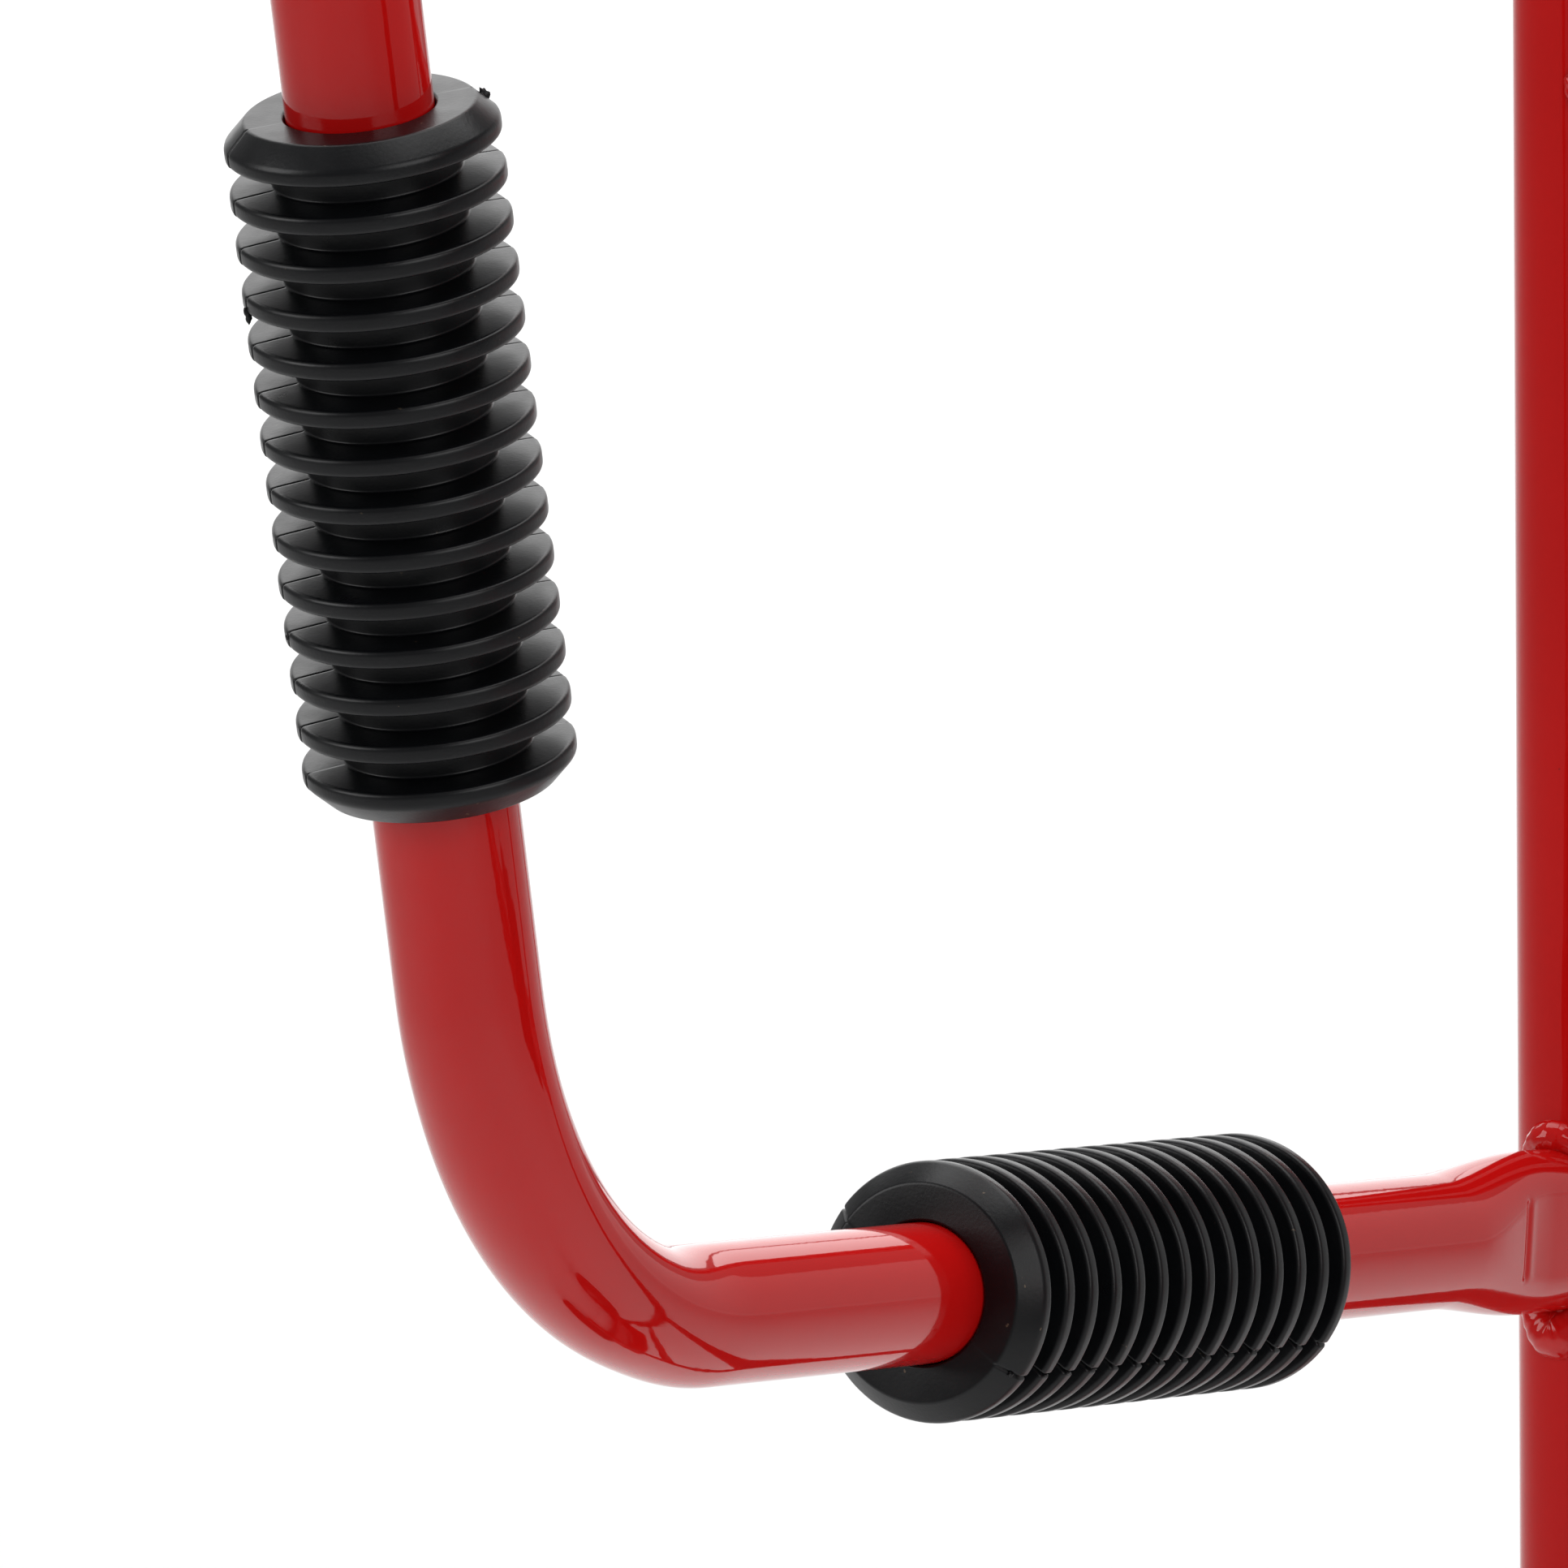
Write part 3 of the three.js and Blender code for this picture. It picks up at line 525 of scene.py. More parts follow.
def leg_weld_route():
    """Round the leg's pressed end, where it meets the rail: fat above and below, thin along its sides."""
    route, thickness = [], []
    for angle in circle(64):
        fat = abs(sin(angle)) ** 3
        below = fat if sin(angle) < 0 else 0.0
        across = (PRESSED_THICK / 2 - 0.6 * MM * (1 - fat)) * cos(angle)
        rise = (PRESSED_THICK / 2 + 1.9 * MM * fat + 2.4 * MM * below) * sin(angle)
        rise += copysign(PRESSED_TALL - PRESSED_THICK, sin(angle)) / 2
        depth = sqrt(TUBE_R ** 2 - across ** 2) - 0.5 * MM - 0.5 * MM * fat - 1.5 * MM * below
        height = WELD_HEIGHT + rise / cos(LEG_SLOPE) + depth * tan(LEG_SLOPE)
        route.append((across, RAIL_Y - depth, height))
        thickness.append(1.1 * MM + 2.6 * MM * fat + 1.6 * MM * below)
    return route, thickness


def make_handles():
    bent, pressed = handle_shape()
    for label, side in SIDES:
        shift = Matrix.Translation((side * RAIL_X, 0, 0))
        tube = build(f"{label}_handle_tube_shape", *moved(bent, shift), 40)
        combine(tube, build(f"{label}_pressed_end", *moved(pressed, shift), 40), "UNION")
        shade(tube.data, 40)
        dress(tube, RED, "truck_frame", f"{label}_handle_tube")
        bead = moved(bead_shape(*leg_weld_route(), 11 + side, 0.14), shift)
        dress(build(f"{label}_leg_weld", *bead, 80), RED, "truck_frame")


# ---- grips
def grip_profile():
    half = DISC_THICKNESS / 2
    top = GRIP_PITCH - half + FLANGE
    bottom = half - GRIP_DISCS * GRIP_PITCH - FLANGE
    lip = 0.4 * MM  # the hole opens out a little at each end
    soft, crest = 1.8 * MM, 0.95 * MM  # how round a flange's and a disc's outer corners are
    chamfered = GRIP_R - FLANGE_CHAMFER
    profile = [(top - lip, GRIP_BORE_R), (top, GRIP_BORE_R + lip)]
    profile += [(top, chamfered, 1.0 * MM), (top - FLANGE_CHAMFER, GRIP_R, soft)]
    draft = 0.35 * MM
    for groove in range(GRIP_DISCS + 1):
        middle = (0.5 - groove) * GRIP_PITCH
        wall = GRIP_PITCH / 2 - half
        profile += [(middle + wall, GRIP_R, crest), (middle + wall - draft, GRIP_CORE_R)]
        profile += [(middle - wall + draft, GRIP_CORE_R), (middle - wall, GRIP_R, crest)]
    profile += [(bottom + FLANGE_CHAMFER, GRIP_R, soft), (bottom, chamfered, 1.0 * MM)]
    profile += [(bottom, GRIP_BORE_R + lip), (bottom + lip, GRIP_BORE_R)]
    return rounded(profile, 0.5 * MM, 5)


def grip_shape(parting, seed, crumbs):
    """The ribbed grip along local Z. The mould's two halves meet at the angle parting and opposite it.
    There each disc has a fine crack and a small step. crumbs lists scraps of flash: disc, side, size."""
    fine = np.radians([-3.2, -2.3, -1.6, -1.1, -0.7, -0.35, 0.0, 0.35, 0.7, 1.1, 1.6, 2.3, 3.2])
    clear = [a for a in circle(144) if abs((a + pi / 2) % pi - pi / 2) > radians(3.6)]
    angles = np.sort(np.concatenate([clear, fine % (2 * pi), fine + pi])) + parting
    points, faces = turned_points(grip_profile(), angles)
    radius = np.hypot(points[:, 0], points[:, 1])
    angle = np.arctan2(points[:, 1], points[:, 0]) - parting
    off_joint = np.abs((angle + pi / 2) % pi - pi / 2)
    share = np.clip((radius - GRIP_CORE_R) / (GRIP_R - GRIP_CORE_R), 0, 1)
    crack = np.exp(-(off_joint / radians(0.8)) ** 2) * share
    points[:, :2] *= (1 - 0.7 * MM * crack / np.maximum(radius, 1e-6))[:, None]
    disc = np.clip(np.round(-points[:, 2] / GRIP_PITCH), 0, GRIP_DISCS - 1) * -GRIP_PITCH
    on_disc = np.abs(points[:, 2] - disc) < DISC_THICKNESS
    points[:, 2] -= np.where(on_disc, (points[:, 2] - disc) * 0.4 * crack, 0)
    points[:, 2] += np.tanh(np.sin(angle) * 60) * 0.12 * MM * share
    parts = [(points, faces)]
    generator = random.Random(seed)
    for number, side, size in crumbs:
        where = parting + (0 if side > 0 else pi) + generator.uniform(-0.02, 0.02)
        height = -number * GRIP_PITCH + generator.uniform(-0.5, 0.5) * MM
        shoulder = GRIP_PITCH - DISC_THICKNESS / 2 + FLANGE - FLANGE_CHAMFER
        reach = GRIP_R - 0.3 * MM - max(0.0, height - shoulder)
        centre = Vector((cos(where) * reach, sin(where) * reach, height))
        parts.append(crumb(centre, where, size, generator))
    return joined(parts)


def crumb(centre, where, size, generator):
    """A small jagged scrap, thin round the grip and longer outwards and along it."""
    work = bmesh.new()
    bmesh.ops.create_icosphere(work, subdivisions=3, radius=1)
    outwards = np.array((cos(where), sin(where), 0))
    round_it = np.array((-sin(where), cos(where), 0))
    stretch = (generator.uniform(0.6, 0.9), generator.uniform(0.35, 0.5), generator.uniform(1.0, 1.4))
    phases = [generator.uniform(0, 6.28) for _ in range(4)]
    points = []
    for vertex in work.verts:
        p = vertex.co
        lump = 1 + 0.16 * sin(3.1 * p.x + phases[0]) + 0.16 * sin(4.3 * p.z + phases[1])
        lump += 0.14 * sin(6.7 * p.x + 5.1 * p.z + phases[2]) + 0.08 * sin(9 * p.z + phases[3])
        local = np.array([p.x * stretch[0], p.y * stretch[1], p.z * stretch[2]]) * lump * size
        aside = local[0] * outwards + local[1] * round_it
        points.append(np.array(centre) + aside + np.array((0, 0, local[2])))
    faces = [tuple(v.index for v in face.verts) for face in work.faces]
    work.free()
    return points, faces


def make_grips():
    for label, side in SIDES:
        across = Vector((side * RAIL_X, 0, 0))
        upright = across + Vector(LOWER_CORNER + UPRIGHT_WAY * FIRST_DISC_ON_UPRIGHT)
        leg = across + Vector(WELD_POINT + LEG_WAY * FIRST_DISC_ON_LEG)
        plans = (
            ("vertical_grip", upright, UPRIGHT_WAY, (-0.69, -0.72, 0.0), 3,
             ((2.2, 1, 1.1 * MM), (9, 1, 0.8 * MM), (-1.3, -1, 1.2 * MM))),
            ("horizontal_grip", leg, LEG_WAY, (0.812, 0.0, -0.584), 8,
             ((-1.2, 1, 0.8 * MM), (0, 1, 0.5 * MM), (1, 1, 0.6 * MM), (2, 1, 0.45 * MM), (9, 1, 0.5 * MM))),
        )
        for name, place, way, joint_way, seed, nibs in plans:
            matrix = axis_matrix(place, way)
            local = matrix.to_3x3().inverted() @ Vector(joint_way)
            shape = grip_shape(atan2(local.y, local.x), seed, nibs)
            stand_for(f"{label}_{name}", moved(shape, matrix), GRIP, 55)


make_handles()
make_grips()


# ---- frame below the handles
def centre(node):
    low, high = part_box(node)
    return (low + high) / 2


def ease(thing, width):
    """Bevels every crisp edge of a piece and shades it smooth."""
    sharp = 35.0
    work = bmesh.new()
    work.from_mesh(thing.data)
    bmesh.ops.remove_doubles(work, verts=work.verts, dist=1e-6)
    bmesh.ops.dissolve_limit(work, angle_limit=radians(1), verts=work.verts, edges=work.edges)
    crisp = [e for e in work.edges if e.calc_face_angle(0) > radians(sharp)]
    bmesh.ops.bevel(work, geom=crisp, offset=width, segments=3, profile=0.5, affect="EDGES",
                    clamp_overlap=True)
    work.to_mesh(thing.data)
    work.free()
    shade(thing.data, sharp)
    return thing


def prism(outline, depth, matrix):
    """Points and faces of a (u, v) outline drawn out along local Z from 0 to depth."""
    return moved(strip([[(u, v, level) for u, v in outline] for level in (0, depth)]), matrix)


def arc(u, v, radius, start, end, steps=16):
    """Points of an arc about (u, v), from start to end in degrees."""
    angles = np.radians(np.linspace(start, end, steps + 1))
    return [(u + radius * cos(a), v + radius * sin(a)) for a in angles]


def oblong_ring(half_wide, half_thick, corner, steps=4):
    """A rounded rectangle in (u, v)."""
    points = []
    for u, v, start in ((1, 1, 0), (-1, 1, 90), (-1, -1, 180), (1, -1, 270)):
        points += arc(u * (half_wide - corner), v * (half_thick - corner), corner, start, start + 90, steps)
    return points


def side_plane(x, y):
    """Local X and Y become the row frame's Y and Z, local Z its X, with the origin at (x, y, 0)."""
    return Matrix(((0, 0, 1, x), (1, 0, 0, y), (0, 1, 0, 0), (0, 0, 0, 1)))


def long_side(start, end, radius, parts):
    """Even points of an outline's long straight side, both ends included."""
    return [(start + (end - start) * k / parts, radius) for k in range(parts + 1)]


def weld_loop(name, route, thickness, seed):
    """A weld bead of even thickness on the frame."""
    bead = bead_shape(route, [thickness] * len(route), seed, 0.7)
    dress(build(name, *bead, 80), RED, "truck_frame")


def make_rails():
    for label, side in SIDES:
        low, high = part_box(f"{label}_lower_rail")
        outside = long_side(low.z, high.z, RAIL_R, 24)
        profile = [(low.z, RAIL_BORE_R), *outside, (high.z, RAIL_BORE_R)]
        matrix = Matrix.Translation((side * RAIL_X, RAIL_Y, 0))
        lathe_for(f"{label}_lower_rail", profile, matrix, RED, 72, 0.5 * MM)


def strap_points(height):
    """The middle line of a crossbar: an arc that bows rearwards between the rails."""
    radius = (STRAP_HALF_SPAN ** 2 + STRAP_SAG ** 2) / (2 * STRAP_SAG)
    limit = asin(STRAP_REACH / radius)
    points = []
    for angle in np.linspace(-limit, limit, 49):
        y = RAIL_Y + radius - STRAP_SAG - radius * cos(angle)
        place = np.array((radius * sin(angle), y, height))
        points.append((place, np.array((cos(angle), sin(angle), 0))))
    return points


def on_rail(side, y, radius):
    """The x, on the truck's inner side, of the point y off the rail's axis on a circle round that axis."""
    return side * (RAIL_X - sqrt(radius ** 2 - y ** 2))


def make_curved_crossbars():
    section = oblong_ring(STRAP_TALL / 2, STRAP_THICK / 2, 1.0 * MM)
    outline = oblong_ring(STRAP_TALL / 2 + 0.4 * MM, STRAP_THICK / 2 + 0.5 * MM, 1.4 * MM, 3)
    for number, node in enumerate(("upper_crossbar", "middle_crossbar", "lower_crossbar")):
        height = centre(node).z
        middle_line = strap_points(height)
        rings = []
        for place, way in middle_line:
            normal = np.array((-way[1], way[0], 0))
            rings.append([place + np.array((0, 0, u)) + v * normal for u, v in section])
        stand_for(node, strip(rings), RED)
        back = middle_line[-1][0][1] - RAIL_Y
        for label, side in SIDES:
            route = []
            for u, v in outline:
                route.append((on_rail(side, back + v, STRAP_WELD_R), RAIL_Y + back + v, height + u))
            weld_loop(f"{label}_{node}_weld", route, 1.5 * MM, 20 + 3 * number + side)


def make_top_crossbar():
    bar = centre("top_crossbar")
    bore = TOP_BAR_R - TOP_BAR_WALL
    outside = long_side(-TOP_BAR_REACH, TOP_BAR_REACH, TOP_BAR_R, 16)
    profile = [(-TOP_BAR_REACH, bore), *outside, (TOP_BAR_REACH, bore)]
    lathe_for("top_crossbar", profile, axis_matrix(bar, (1, 0, 0)), RED, 64, 0.3 * MM)
    radius = TOP_BAR_R + 0.3 * MM
    for label, side in SIDES:
        route = []
        for angle in circle(48):
            y, z = radius * cos(angle), radius * sin(angle)
            route.append((on_rail(side, y, TOP_BAR_WELD_R), bar.y + y, bar.z + z))
        weld_loop(f"{label}_top_crossbar_weld", route, 1.6 * MM, 40 + side)


def bracket_outline(inset):
    """The bracket's side in (y, z), measured from the rail's axis. inset shrinks all but the front."""
    low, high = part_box("left_axle_bracket")
    nose = BRACKET_NOSE_R - inset
    front, edge = (40 * MM if inset else 0), -10 * MM
    top, foot = (edge, high.z - inset), (edge, low.z + inset)
    middle = (AXLE.y - RAIL_Y, AXLE.z)

    def tangent(point, sign):
        away = (point[0] - middle[0], point[1] - middle[1])
        return degrees(atan2(away[1], away[0]) + sign * acos(nose / hypot(*away)))

    start, end = tangent(top, 1), tangent(foot, -1)
    end += 360 if end < start else 0
    return [(front, foot[1]), (front, top[1]), top, *arc(*middle, nose, start, end, 36), foot]


def cut_away(thing, profile, segments, matrix):
    """Cuts a turned shape out of a thing."""
    combine(thing, build("cutter", *moved(turned_points(profile, segments), matrix)), "DIFFERENCE")


def make_bracket_welds(label, side):
    low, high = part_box(f"{label}_axle_bracket")
    heights = np.linspace(low.z + 8 * MM, high.z - 8 * MM, 30)
    for cheek in (-1, 1):
        x = side * RAIL_X + cheek * BRACKET_WELD_X
        route = [(x, RAIL_Y + 1.0 * MM, z) for z in heights]
        route += [(x - cheek * 0.7 * MM, RAIL_Y + 1.6 * MM, z) for z in heights[::-1]]
        where = "outer" if cheek == side else "inner"
        weld_loop(f"{label}_bracket_weld_{where}", route, 1.3 * MM, 50 + cheek + 5 * side)


def bracket_block(across, inset):
    half = BRACKET_OUTSIDE - inset
    matrix = across @ Matrix.Translation((0, 0, -half))
    return build("block", *prism(bracket_outline(inset), 2 * half, matrix))


def make_brackets():
    """A folded channel on each rail: two cheeks hug the rail and meet in a skin round the back."""
    for label, side in SIDES:
        across = side_plane(side * RAIL_X, RAIL_Y)
        shell, hollow = [bracket_block(across, inset) for inset in (0, BRACKET_OUTSIDE - BRACKET_INSIDE)]
        combine(shell, hollow, "DIFFERENCE")
        hole = [(-50 * MM, 0.0), (-50 * MM, AXLE_HOLE_R), (50 * MM, AXLE_HOLE_R), (50 * MM, 0.0)]
        cut_away(shell, hole, 48, axis_matrix((side * RAIL_X, AXLE.y, AXLE.z), (1, 0, 0)))
        slot = [(20 * MM, 0.0), (20 * MM, BRACKET_INSIDE), (400 * MM, BRACKET_INSIDE), (400 * MM, 0.0)]
        cut_away(shell, slot, 64, Matrix.Translation((side * RAIL_X, RAIL_Y, 0)))
        shell.name = f"{label}_axle_bracket_shape"
        dress(ease(shell, 0.6 * MM), RED, "truck_frame", f"{label}_axle_bracket")
        make_bracket_welds(label, side)


def toe_sheet():
    """One bent sheet: a floor plate with round front corners, and an upstand behind it."""
    low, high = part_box("toe_plate")
    half, upstand_half, corner, top_corner = high.x, 165 * MM, 28 * MM, 10 * MM
    bend = 8 * MM
    flat = high.y - low.y - bend
    quarter = bend * pi / 2
    tall = high.z - bend
    quarter_turn = np.linspace(0, pi / 2, 14)
    stations = [(corner * (1 - cos(a)), half - corner * (1 - sin(a))) for a in quarter_turn]
    stations += [(s, half) for s in np.linspace(corner + 6 * MM, flat - 2.5 * MM, 26)]
    stations += [(flat - 1.2 * MM, half - 0.4 * MM), (flat - 0.6 * MM, half - 1.4 * MM)]
    stations.append((flat - 0.5 * MM, upstand_half))
    stations += [(flat + s, upstand_half) for s in np.linspace(0, quarter, 12)]
    stations += [(flat + quarter + s, upstand_half) for s in np.linspace(4 * MM, tall - top_corner, 10)]
    for angle in np.linspace(pi / 14, pi / 2, 7):
        along = flat + quarter + tall - top_corner * (1 - sin(angle))
        stations.append((along, upstand_half - top_corner * (1 - cos(angle))))
    rings = []
    for s, wide in stations:
        ring = []
        for x, t in oblong_ring(wide, SHEET / 2, 0.9 * MM):
            depth = t + SHEET / 2
            if s <= flat:
                y, z = high.y - s, depth
            elif s <= flat + quarter:
                turn = (s - flat) / bend
                y = low.y + bend - (bend - depth) * sin(turn)
                z = bend - (bend - depth) * cos(turn)
            else:
                y, z = low.y + depth, bend + s - flat - quarter
            ring.append((x, y, z))
        rings.append(ring)
    return strip(rings)


def make_toe_plate():
    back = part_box("toe_plate")[0].y + SHEET
    depth, tall = 78 * MM, 62 * MM
    outline = [(back - 1 * MM, 2 * MM), (back + depth, 2 * MM), (back + depth, 8 * MM)]
    outline += [(back + 6 * MM, tall), (back - 1 * MM, tall)]
    thing = build("toe_plate_shape", *toe_sheet())
    for label, side in SIDES:
        web = build("web", *prism(outline, SHEET, side_plane(side * WEB_X - SHEET / 2, 0)))
        combine(thing, ease(web, 0.8 * MM), "UNION")
        shade(thing.data, 35)
        foot = [(side * WEB_X + v, back + depth / 2 + 2 * MM + u, SHEET + 0.2 * MM)
                for u, v in oblong_ring(depth / 2 - 3 * MM, SHEET / 2 + 0.3 * MM, 1 * MM, 3)]
        weld_loop(f"{label}_web_foot_weld", foot, 1.3 * MM, 60 + side)
    dress(thing, TOE_RED, "truck_frame", "toe_plate")


# ---- fasteners
def level_ring(radius, around, height):
    """Points round local Z at one height. radius is one number, or one for each angle."""
    return np.stack([radius * np.cos(around), radius * np.sin(around), height * np.ones_like(around)], axis=1)


def hexagon_shape(across, height, hole=0.0):
    """A hexagon along local Z from 0, its corners turned off at 30 degrees. With a hole it is a nut."""
    around = circle(72)
    face = across * 0.47  # the round left inside the chamfer
    corner = across / 2 / np.cos((around + pi / 6) % (pi / 3) - pi / 6)
    fall = (corner - face) * tan(radians(30))
    rings = [(face, 0.0), (corner, fall if hole else 0.0), (corner, height - fall), (face, height)]
    if hole:
        mouth = hole + 0.6 * MM
        rings += [(mouth, height), (hole, height - 0.6 * MM), (hole, 0.6 * MM), (mouth, 0.0)]
    return strip([level_ring(radius, around, level) for radius, level in rings], closed_path=hole > 0)


def screw_shape(radius, start, plain, end, pitch):
    """A rod along local Z, threaded from plain to end, with a chamfered tip."""
    around = circle(32)
    heights = np.concatenate([[start, plain - pitch], np.arange(plain, end, pitch / 7), [end]])
    rings = []
    for height in heights:
        wave = np.abs(((height / pitch - around / (2 * pi)) % 1) * 2 - 1)
        cut = 0.58 * pitch * wave * float(smoothstep(height, plain - pitch, plain))
        tip = max(0.0, 1.1 * pitch - (end - height)) * 0.9
        size = np.minimum(radius - cut, radius - tip)
        rings.append(level_ring(size, around, height))
    return strip(rings)


def bolt_shape(bolt, reach):
    """A hexagon bolt along local Z: its head below 0, its shank above, threaded where it sticks out."""
    points, faces = hexagon_shape(bolt.across, bolt.head)
    points = points * np.array((1, 1, -1)) - np.array((0, 0, 0.4 * MM))
    foot, seat = bolt.across * 0.47, bolt.across * 0.46
    washer = turned_points([(-0.5 * MM, 0.0), (-0.5 * MM, foot), (0.0, seat), (0.0, 0.0)], 48)
    shank = screw_shape(bolt.radius - 0.02 * MM, -0.3 * MM, reach - 1.5 * MM, reach + bolt.tail, bolt.pitch)
    points, faces = joined([(points, faces), washer, shank])
    points[:, 2] = np.maximum(points[:, 2], -bolt.head)
    return points, faces


def frame_bolt_place(kind, side, z):
    """Where a frame bolt's head sits, which way it points, and how far it is to its nut."""
    if kind == "splice":
        through = 2 * (RAIL_R + GAP)
        return Vector((side * (RAIL_X + through / 2), RAIL_Y, z)), Vector((-side, 0, 0)), through
    toe_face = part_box("toe_plate")[0].y + SHEET
    return Vector((side * RAIL_X, toe_face + GAP, z)), Vector((0, -1, 0)), SHEET + RAIL_DEPTH_AT_TOE_BOLT


def make_frame_bolt(label, side, kind, number):
    bolt, nut = f"{label}_{kind}_bolt_{number}", f"{label}_{kind}_nut_{number}"
    seat, way, reach = frame_bolt_place(kind, side, centre(bolt).z)
    turn = random.Random(f"{kind}{label}{number}").uniform(0, 1)
    stand_for(bolt, moved(bolt_shape(FRAME_BOLT, reach), axis_matrix(seat, way, turn)), ZINC)
    nut_seat = centre(nut) - way * (FRAME_NUT / 2)
    shape = hexagon_shape(FRAME_BOLT.across, FRAME_NUT, FRAME_BOLT.radius + 0.06 * MM)
    stand_for(nut, moved(shape, axis_matrix(nut_seat, way, turn + 0.4)), ZINC)


def make_frame_bolts():
    for label, side in SIDES:
        for number in (1, 2):
            for kind in ("splice", "toe"):
                make_frame_bolt(label, side, kind, number)


def cotter_shape():
    """A split pin: one wire down, round its eye and down again, its two tips bent apart."""
    wire = 0.8 * MM
    leg = [(1.0 * MM + 3.2 * MM * (1 - t) ** 2, -14.2 * MM + 5 * MM * t) for t in np.linspace(0, 1, 10)]
    leg += [(0.85 * MM, z) for z in np.linspace(-8 * MM, 8.6 * MM, 10)]
    path = [(-y, z) for y, z in leg] + arc(0, 13.4 * MM, 4.2 * MM, 250, -70, 30) + leg[::-1]
    line = np.array([(0, y, z) for y, z in path])
    way = np.gradient(line, axis=0)
    rings = []
    around = circle(12)
    for place, along in zip(line, way):
        along = unit(along)
        side = np.cross((1, 0, 0), along)
        rings.append(place + wire * (np.outer(np.cos(around), (1, 0, 0)) + np.outer(np.sin(around), side)))
    return strip(rings)


def make_axle():
    low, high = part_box("axle")
    chamfer = 1.4 * MM
    tip = AXLE_R - chamfer
    profile = [(low.x, 0.0), (low.x, tip), (low.x + chamfer, AXLE_R)]
    profile += long_side(low.x, high.x, AXLE_R, 30)[1:-1]
    profile += [(high.x - chamfer, AXLE_R), (high.x, tip), (high.x, 0.0)]
    matrix = axis_matrix((0, AXLE.y, AXLE.z), (1, 0, 0))
    lathe_for("axle", profile, matrix, ZINC, 64, 0.2 * MM)
    for label, side in SIDES:
        for name in ("axle_spacer", "axle_washer"):
            low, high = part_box(f"{label}_{name}")
            outer = (high.z - low.z) / 2
            profile = [(low.x, AXLE_HOLE_R), (low.x, outer), (high.x, outer), (high.x, AXLE_HOLE_R)]
            lathe_for(f"{label}_{name}", profile, matrix, ZINC, 64, 0.5 * MM)
        spot = Matrix.Translation((side * COTTER_X, AXLE.y, AXLE.z))
        stand_for(f"{label}_cotter_pin", moved(cotter_shape(), spot), ZINC)


# ---- wheels, local Z along the axle, outboard
def mirrored(points):
    return [(-x, r, *rest) for x, r, *rest in reversed(points)]


def tyre_shape():
    """A tyre: a tread of zigzag ribs and shoulder blocks, ribbed walls, and beads inside the rim."""
    # the wall, in millimetres: its foot and a raised rib beside the rim
    wall = [(29.3, 52), (30.2, 56), (30.8, 60.6), (32.2, 62.0), (34.9, 63.6), (36.1, 65.4), (36.2, 66.8)]
    wall += [(37.0, 68.4)]
    # its swell, with a shallow groove at the middle
    wall += [(40, 72), (41.4, 76), (42.1, 81), (42.4, 85), (42.45, 87.4), (41.9, 88.2), (41.9, 89.4)]
    wall += [(42.5, 90.2), (42.5, 93), (42.2, 98)]
    # fine ribs under the tread
    wall += [(41.6, 102.4), (41.0, 103.2), (41.2, 104.4), (40.5, 105.6), (40.7, 106.8), (39.8, 108.0)]
    wall += [(40.0, 109.2), (39.2, 110.6), (38.6, 113.2), (37.2, 116)]
    tread = [(x, 130 - 14.0 * abs(x / 36.8) ** 2.6) for x in np.linspace(36.4, -36.4, 73)]
    inside = [(24, 52), (30, 62), (33, 70), (35, 92), (33, 104), (29, 112), (14, 120), (0, 121)]
    outline = wall + tread + mirrored(wall) + mirrored(inside)[:-1] + inside[::-1]
    outline = np.array(outline) * MM
    angles = circle(576)
    x, r = np.meshgrid(outline[:, 0], angles)[0], np.tile(outline[:, 1], (len(angles), 1))
    theta = np.tile(angles[:, None], (1, len(outline)))
    on_tread = np.zeros(len(outline))
    on_tread[len(wall):len(wall) + len(tread)] = 1.0

    def groove(distance, half_wide):
        return 1 - smoothstep(np.abs(distance), half_wide - 0.5 * MM, half_wide + 0.5 * MM)

    zigzag = (2 / pi) * np.arcsin(np.sin(theta * 48))
    depth = groove(np.abs(x) - 10 * MM - zigzag * 1.8 * MM, 1.7 * MM)
    pitch = 2 * pi / 48
    block = ((theta + np.where(x > 0, 0, pitch / 2)) % pitch - pitch / 2) * 130 * MM
    shoulder = smoothstep(np.abs(x), 22 * MM, 24 * MM)
    depth = np.maximum(depth, groove(block, 1.8 * MM) * shoulder)
    depth = np.maximum(depth, groove(np.abs(x) - 22.5 * MM, 1.2 * MM) * 0.8)
    r = r - on_tread * depth * 3.2 * MM
    rings = np.stack([r * np.cos(theta), r * np.sin(theta), x], axis=2)
    return strip(rings, closed_path=True)


def rim_profile(outboard):
    sheet = 2.2 * MM
    points = [(0.15, 21.3), (0.15, 44), (6, 49.5), (31, 50.5), (33, 60), (35.2, 60), (35.2, 48.6), (8, 47.4),
              (2.35, 42.5), (2.35, 21.3)]
    big, small = 3.2 * MM, 1.0 * MM
    radii = [0.3 * MM, 4 * MM, 4 * MM, 3 * MM, small, small, big, 3 * MM, 3 * MM, 0.3 * MM]
    sign = 1 if outboard else -1
    profile = [(sign * x * MM, r * MM, radius) for (x, r), radius in zip(points, radii)]
    return rounded(profile, sheet, 6)


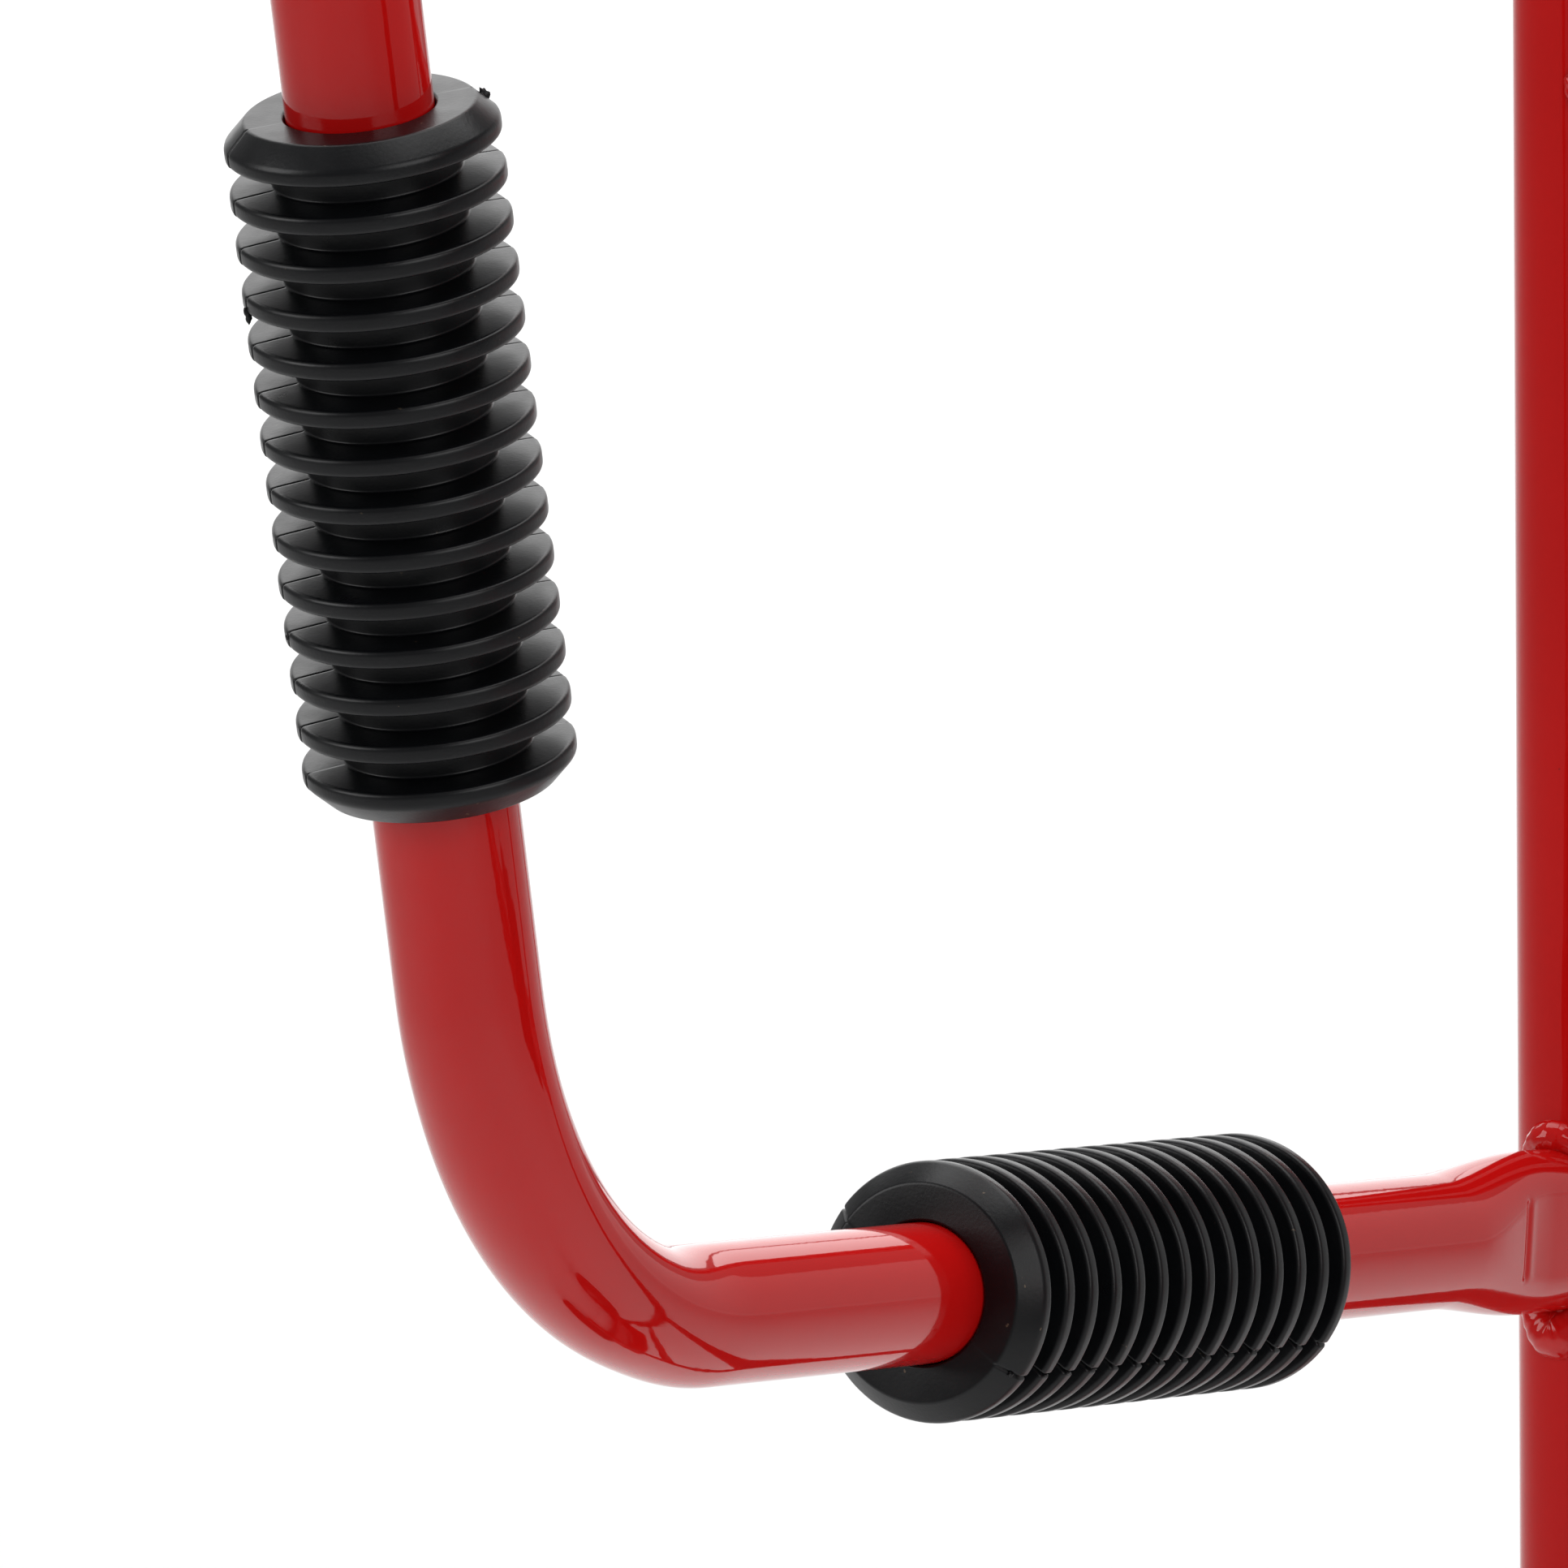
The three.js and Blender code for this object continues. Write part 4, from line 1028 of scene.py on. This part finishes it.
def valve_shape():
    """The stem and its knurled cap, from inside the rim outwards, along local Z."""
    tip = hypot(28, 28)
    stem = [(0, 0), (0, 4), (tip - 14, 4), (tip - 12.5, 2.7), (tip - 8, 2.7), (tip - 8, 0)]
    rod = turned(np.array(stem) * MM, 0.4 * MM, 32)
    cap = [(-9, 0), (-9, 3.4), (-1.6, 3.4), (0, 2.2), (0, 0)]
    points, faces = turned([((z + tip) * MM, r * MM) for z, r in cap], 0.4 * MM, 96)
    around = np.arctan2(points[:, 1], points[:, 0])
    far = np.hypot(points[:, 0], points[:, 1]) > 3.2 * MM
    points[:, :2] *= (1 + np.where(far, 0.05 * np.cos(24 * around), 0))[:, None]
    return joined([rod, (points, faces)])


def make_bearing(name, at, wheel):
    """Two rings with a dark seal between them, centred at the distance at along the axle."""
    wide = BEARING_HALF
    outer = [(-wide, 14.4), (-wide, 17.4), (wide, 17.4), (wide, 14.4)]
    inner = [(-wide, 8.4), (-wide, 11.0), (wide, 11.0), (wide, 8.4)]
    rings = [turned([(at + x, r * MM) for x, r in ring], 0.5 * MM, 96) for ring in (outer, inner)]
    stand_for(name, moved(joined(rings), wheel), BEARING)
    start, end, low, high = at - wide + 0.5 * MM, at + wide - 0.5 * MM, 10.9 * MM, 14.5 * MM
    seal = [(start, low), (start, high), (end, high), (end, low)]
    dress(build(f"{name}_seal", *moved(turned(seal, 0.3 * MM, 96), wheel)), TYRE, owner(name))


def make_inner_tube(name, wheel):
    """The inner tube with its valve, and the rubber collar where the valve comes through the rim."""
    oval = [(31 * MM * cos(a), (85.75 + 32.25 * sin(a)) * MM) for a in circle(32)]
    start = wheel @ Vector(VALVE_FROM)
    end = wheel @ Vector(VALVE_TO)
    stem = axis_matrix(start, end - start)
    tube = joined([moved(turned_points(oval, 96), wheel), moved(valve_shape(), stem)])
    stand_for(f"{name}_inner_tube", tube, TYRE)
    collar = np.array([(-1.2, 4.0), (-1.2, 6.4), (1.0, 6.4), (1.4, 4.0)]) * MM
    at_rim = axis_matrix(start.lerp(end, 0.43), end - start)
    dress(build(f"{name}_valve_collar", *moved(turned(collar, 0.4 * MM, 32), at_rim)), TYRE, name)


def make_rim_bolt(name, number, hub, side):
    """One of the bolts that hold the rim halves together, with its nut."""
    node = f"{name}_rim_bolt_{number}"
    middle = centre(node)
    seat = Vector((hub.x + side * RIM_SHEETS / 2, middle.y, middle.z))
    matrix = axis_matrix(seat, (-side, 0, 0), 0.3 * number)
    nut, faces = hexagon_shape(RIM_BOLT.across, RIM_NUT, RIM_BOLT.radius + 0.05 * MM)
    nut = nut + np.array((0, 0, RIM_SHEETS))
    stand_for(node, moved(joined([bolt_shape(RIM_BOLT, RIM_SHEETS), (nut, faces)]), matrix), ZINC)


def make_wheel(label, side):
    name = f"{label}_wheel"
    hub = Vector((side * WHEEL_X, AXLE.y, AXLE.z))
    wheel = axis_matrix(hub, (side, 0, 0))
    stand_for(f"{name}_tyre", moved(tyre_shape(), wheel), TYRE, 30)
    for part, outboard in (("outer_rim_half", True), ("inner_rim_half", False)):
        shape = turned_points(rim_profile(outboard), 128)
        stand_for(f"{name}_{part}", moved(shape, wheel), RIM, 40)
    half = 37.5 * MM
    sleeve = [(-half, 17.8 * MM), (-half, 21 * MM), (half, 21 * MM), (half, 17.8 * MM)]
    lathe_for(f"{name}_hub_sleeve", sleeve, wheel, ZINC, 96, 0.6 * MM)
    make_bearing(f"{name}_outer_bearing", BEARING_X, wheel)
    make_bearing(f"{name}_inner_bearing", -BEARING_X, wheel)
    make_inner_tube(name, wheel)
    for number in (1, 2, 3, 4):
        make_rim_bolt(name, number, hub, side)


make_rails()
make_curved_crossbars()
make_top_crossbar()
make_brackets()
make_toe_plate()
make_frame_bolts()
make_axle()
for label, side in SIDES:
    make_wheel(label, side)


# ---- camera
CAMERA_BEARING, CAMERA_PITCH, CAMERA_ROLL = radians(30.645), radians(9.9), radians(-0.656)
CAMERA_DISTANCE = 3.26829
LENS, SENSOR = 437.57, 36.0
TARGET = Vector((-RAIL_X, RAIL_Y - 0.289755, WELD_HEIGHT + 0.128499))


def make_camera():
    level = cos(CAMERA_PITCH)
    east, south = sin(CAMERA_BEARING) * level, cos(CAMERA_BEARING) * level
    toward = Vector((east, -south, sin(CAMERA_PITCH)))
    right = Vector((cos(CAMERA_BEARING), sin(CAMERA_BEARING), 0))
    upward = toward.cross(right)
    c, s = cos(CAMERA_ROLL), sin(CAMERA_ROLL)
    axes = Matrix((c * right + s * upward, -s * right + c * upward, toward)).transposed()
    camera = bpy.data.objects.new("camera", bpy.data.cameras.new("camera"))
    camera.matrix_world = Matrix.Translation(TARGET + toward * CAMERA_DISTANCE) @ axes.to_4x4()
    camera.data.lens, camera.data.sensor_width = LENS, SENSOR
    camera.data.clip_start, camera.data.clip_end = 0.05, 100
    bpy.context.scene.collection.objects.link(camera)
    bpy.context.scene.camera = camera


make_camera()


# ---- the studio
WORLD_LIGHT = 0.20
LIGHTS = (
    # name, place, aim, width and height in metres, watts
    ("overhead_softbox", (-0.3, 0.5, 3.6), (-0.3, 0.2, 0), 3.0, 3.0, 75),
    ("background_bank", (-3.5, 5.7, 4.2), (-3.5, 5.7, 0), 6.0, 8.0, 270),
    ("background_wall", (-5.6, 8.9, 2.15), (-0.15, -0.2, 1.2), 10.0, 3.9, 179),
    ("background_right", (4.6, 7.6, 2.2), (0, 0, 1.2), 8.0, 4.4, 38),
    ("left_softbox", (-1.9, -1.9, 2.0), (-0.15, 0.1, 1.0), 1.6, 1.6, 25),
    ("right_softbox", (2.0, -1.2, 2.0), (-0.15, 0.1, 1.0), 1.6, 1.6, 22),
)


def pale_floor():
    material, shader, place = new_material("studio_floor", Roughness=0.9, Specular_IOR_Level=0.1)
    cloud = noise(place, 0.7, 2)
    colour(shader, cloud, (0.86, 0.86, 0.86), (0.89, 0.89, 0.89))
    return material


def make_studio():
    scene = bpy.context.scene
    scene.view_settings.view_transform = "Standard"
    scene.world = bpy.data.worlds.new("studio")
    scene.world.use_nodes = True
    background = scene.world.node_tree.nodes["Background"]
    background.inputs["Color"].default_value = (1, 1, 1, 1)
    background.inputs["Strength"].default_value = WORLD_LIGHT
    floor = build("studio_floor", [(-20, -20, 0), (20, -20, 0), (20, 20, 0), (-20, 20, 0)], [(0, 1, 2, 3)])
    floor.data.materials.append(pale_floor())
    floor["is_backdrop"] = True
    for name, place, aim, width, height, power in LIGHTS:
        data = bpy.data.lights.new(name, "AREA")
        data.shape, data.size, data.size_y, data.energy = "RECTANGLE", width, height, power
        light = bpy.data.objects.new(name, data)
        light.location = place
        light.rotation_euler = (Vector(aim) - Vector(place)).to_track_quat("-Z", "Y").to_euler()
        light.visible_camera = False
        scene.collection.objects.link(light)


make_studio()

low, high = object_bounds()
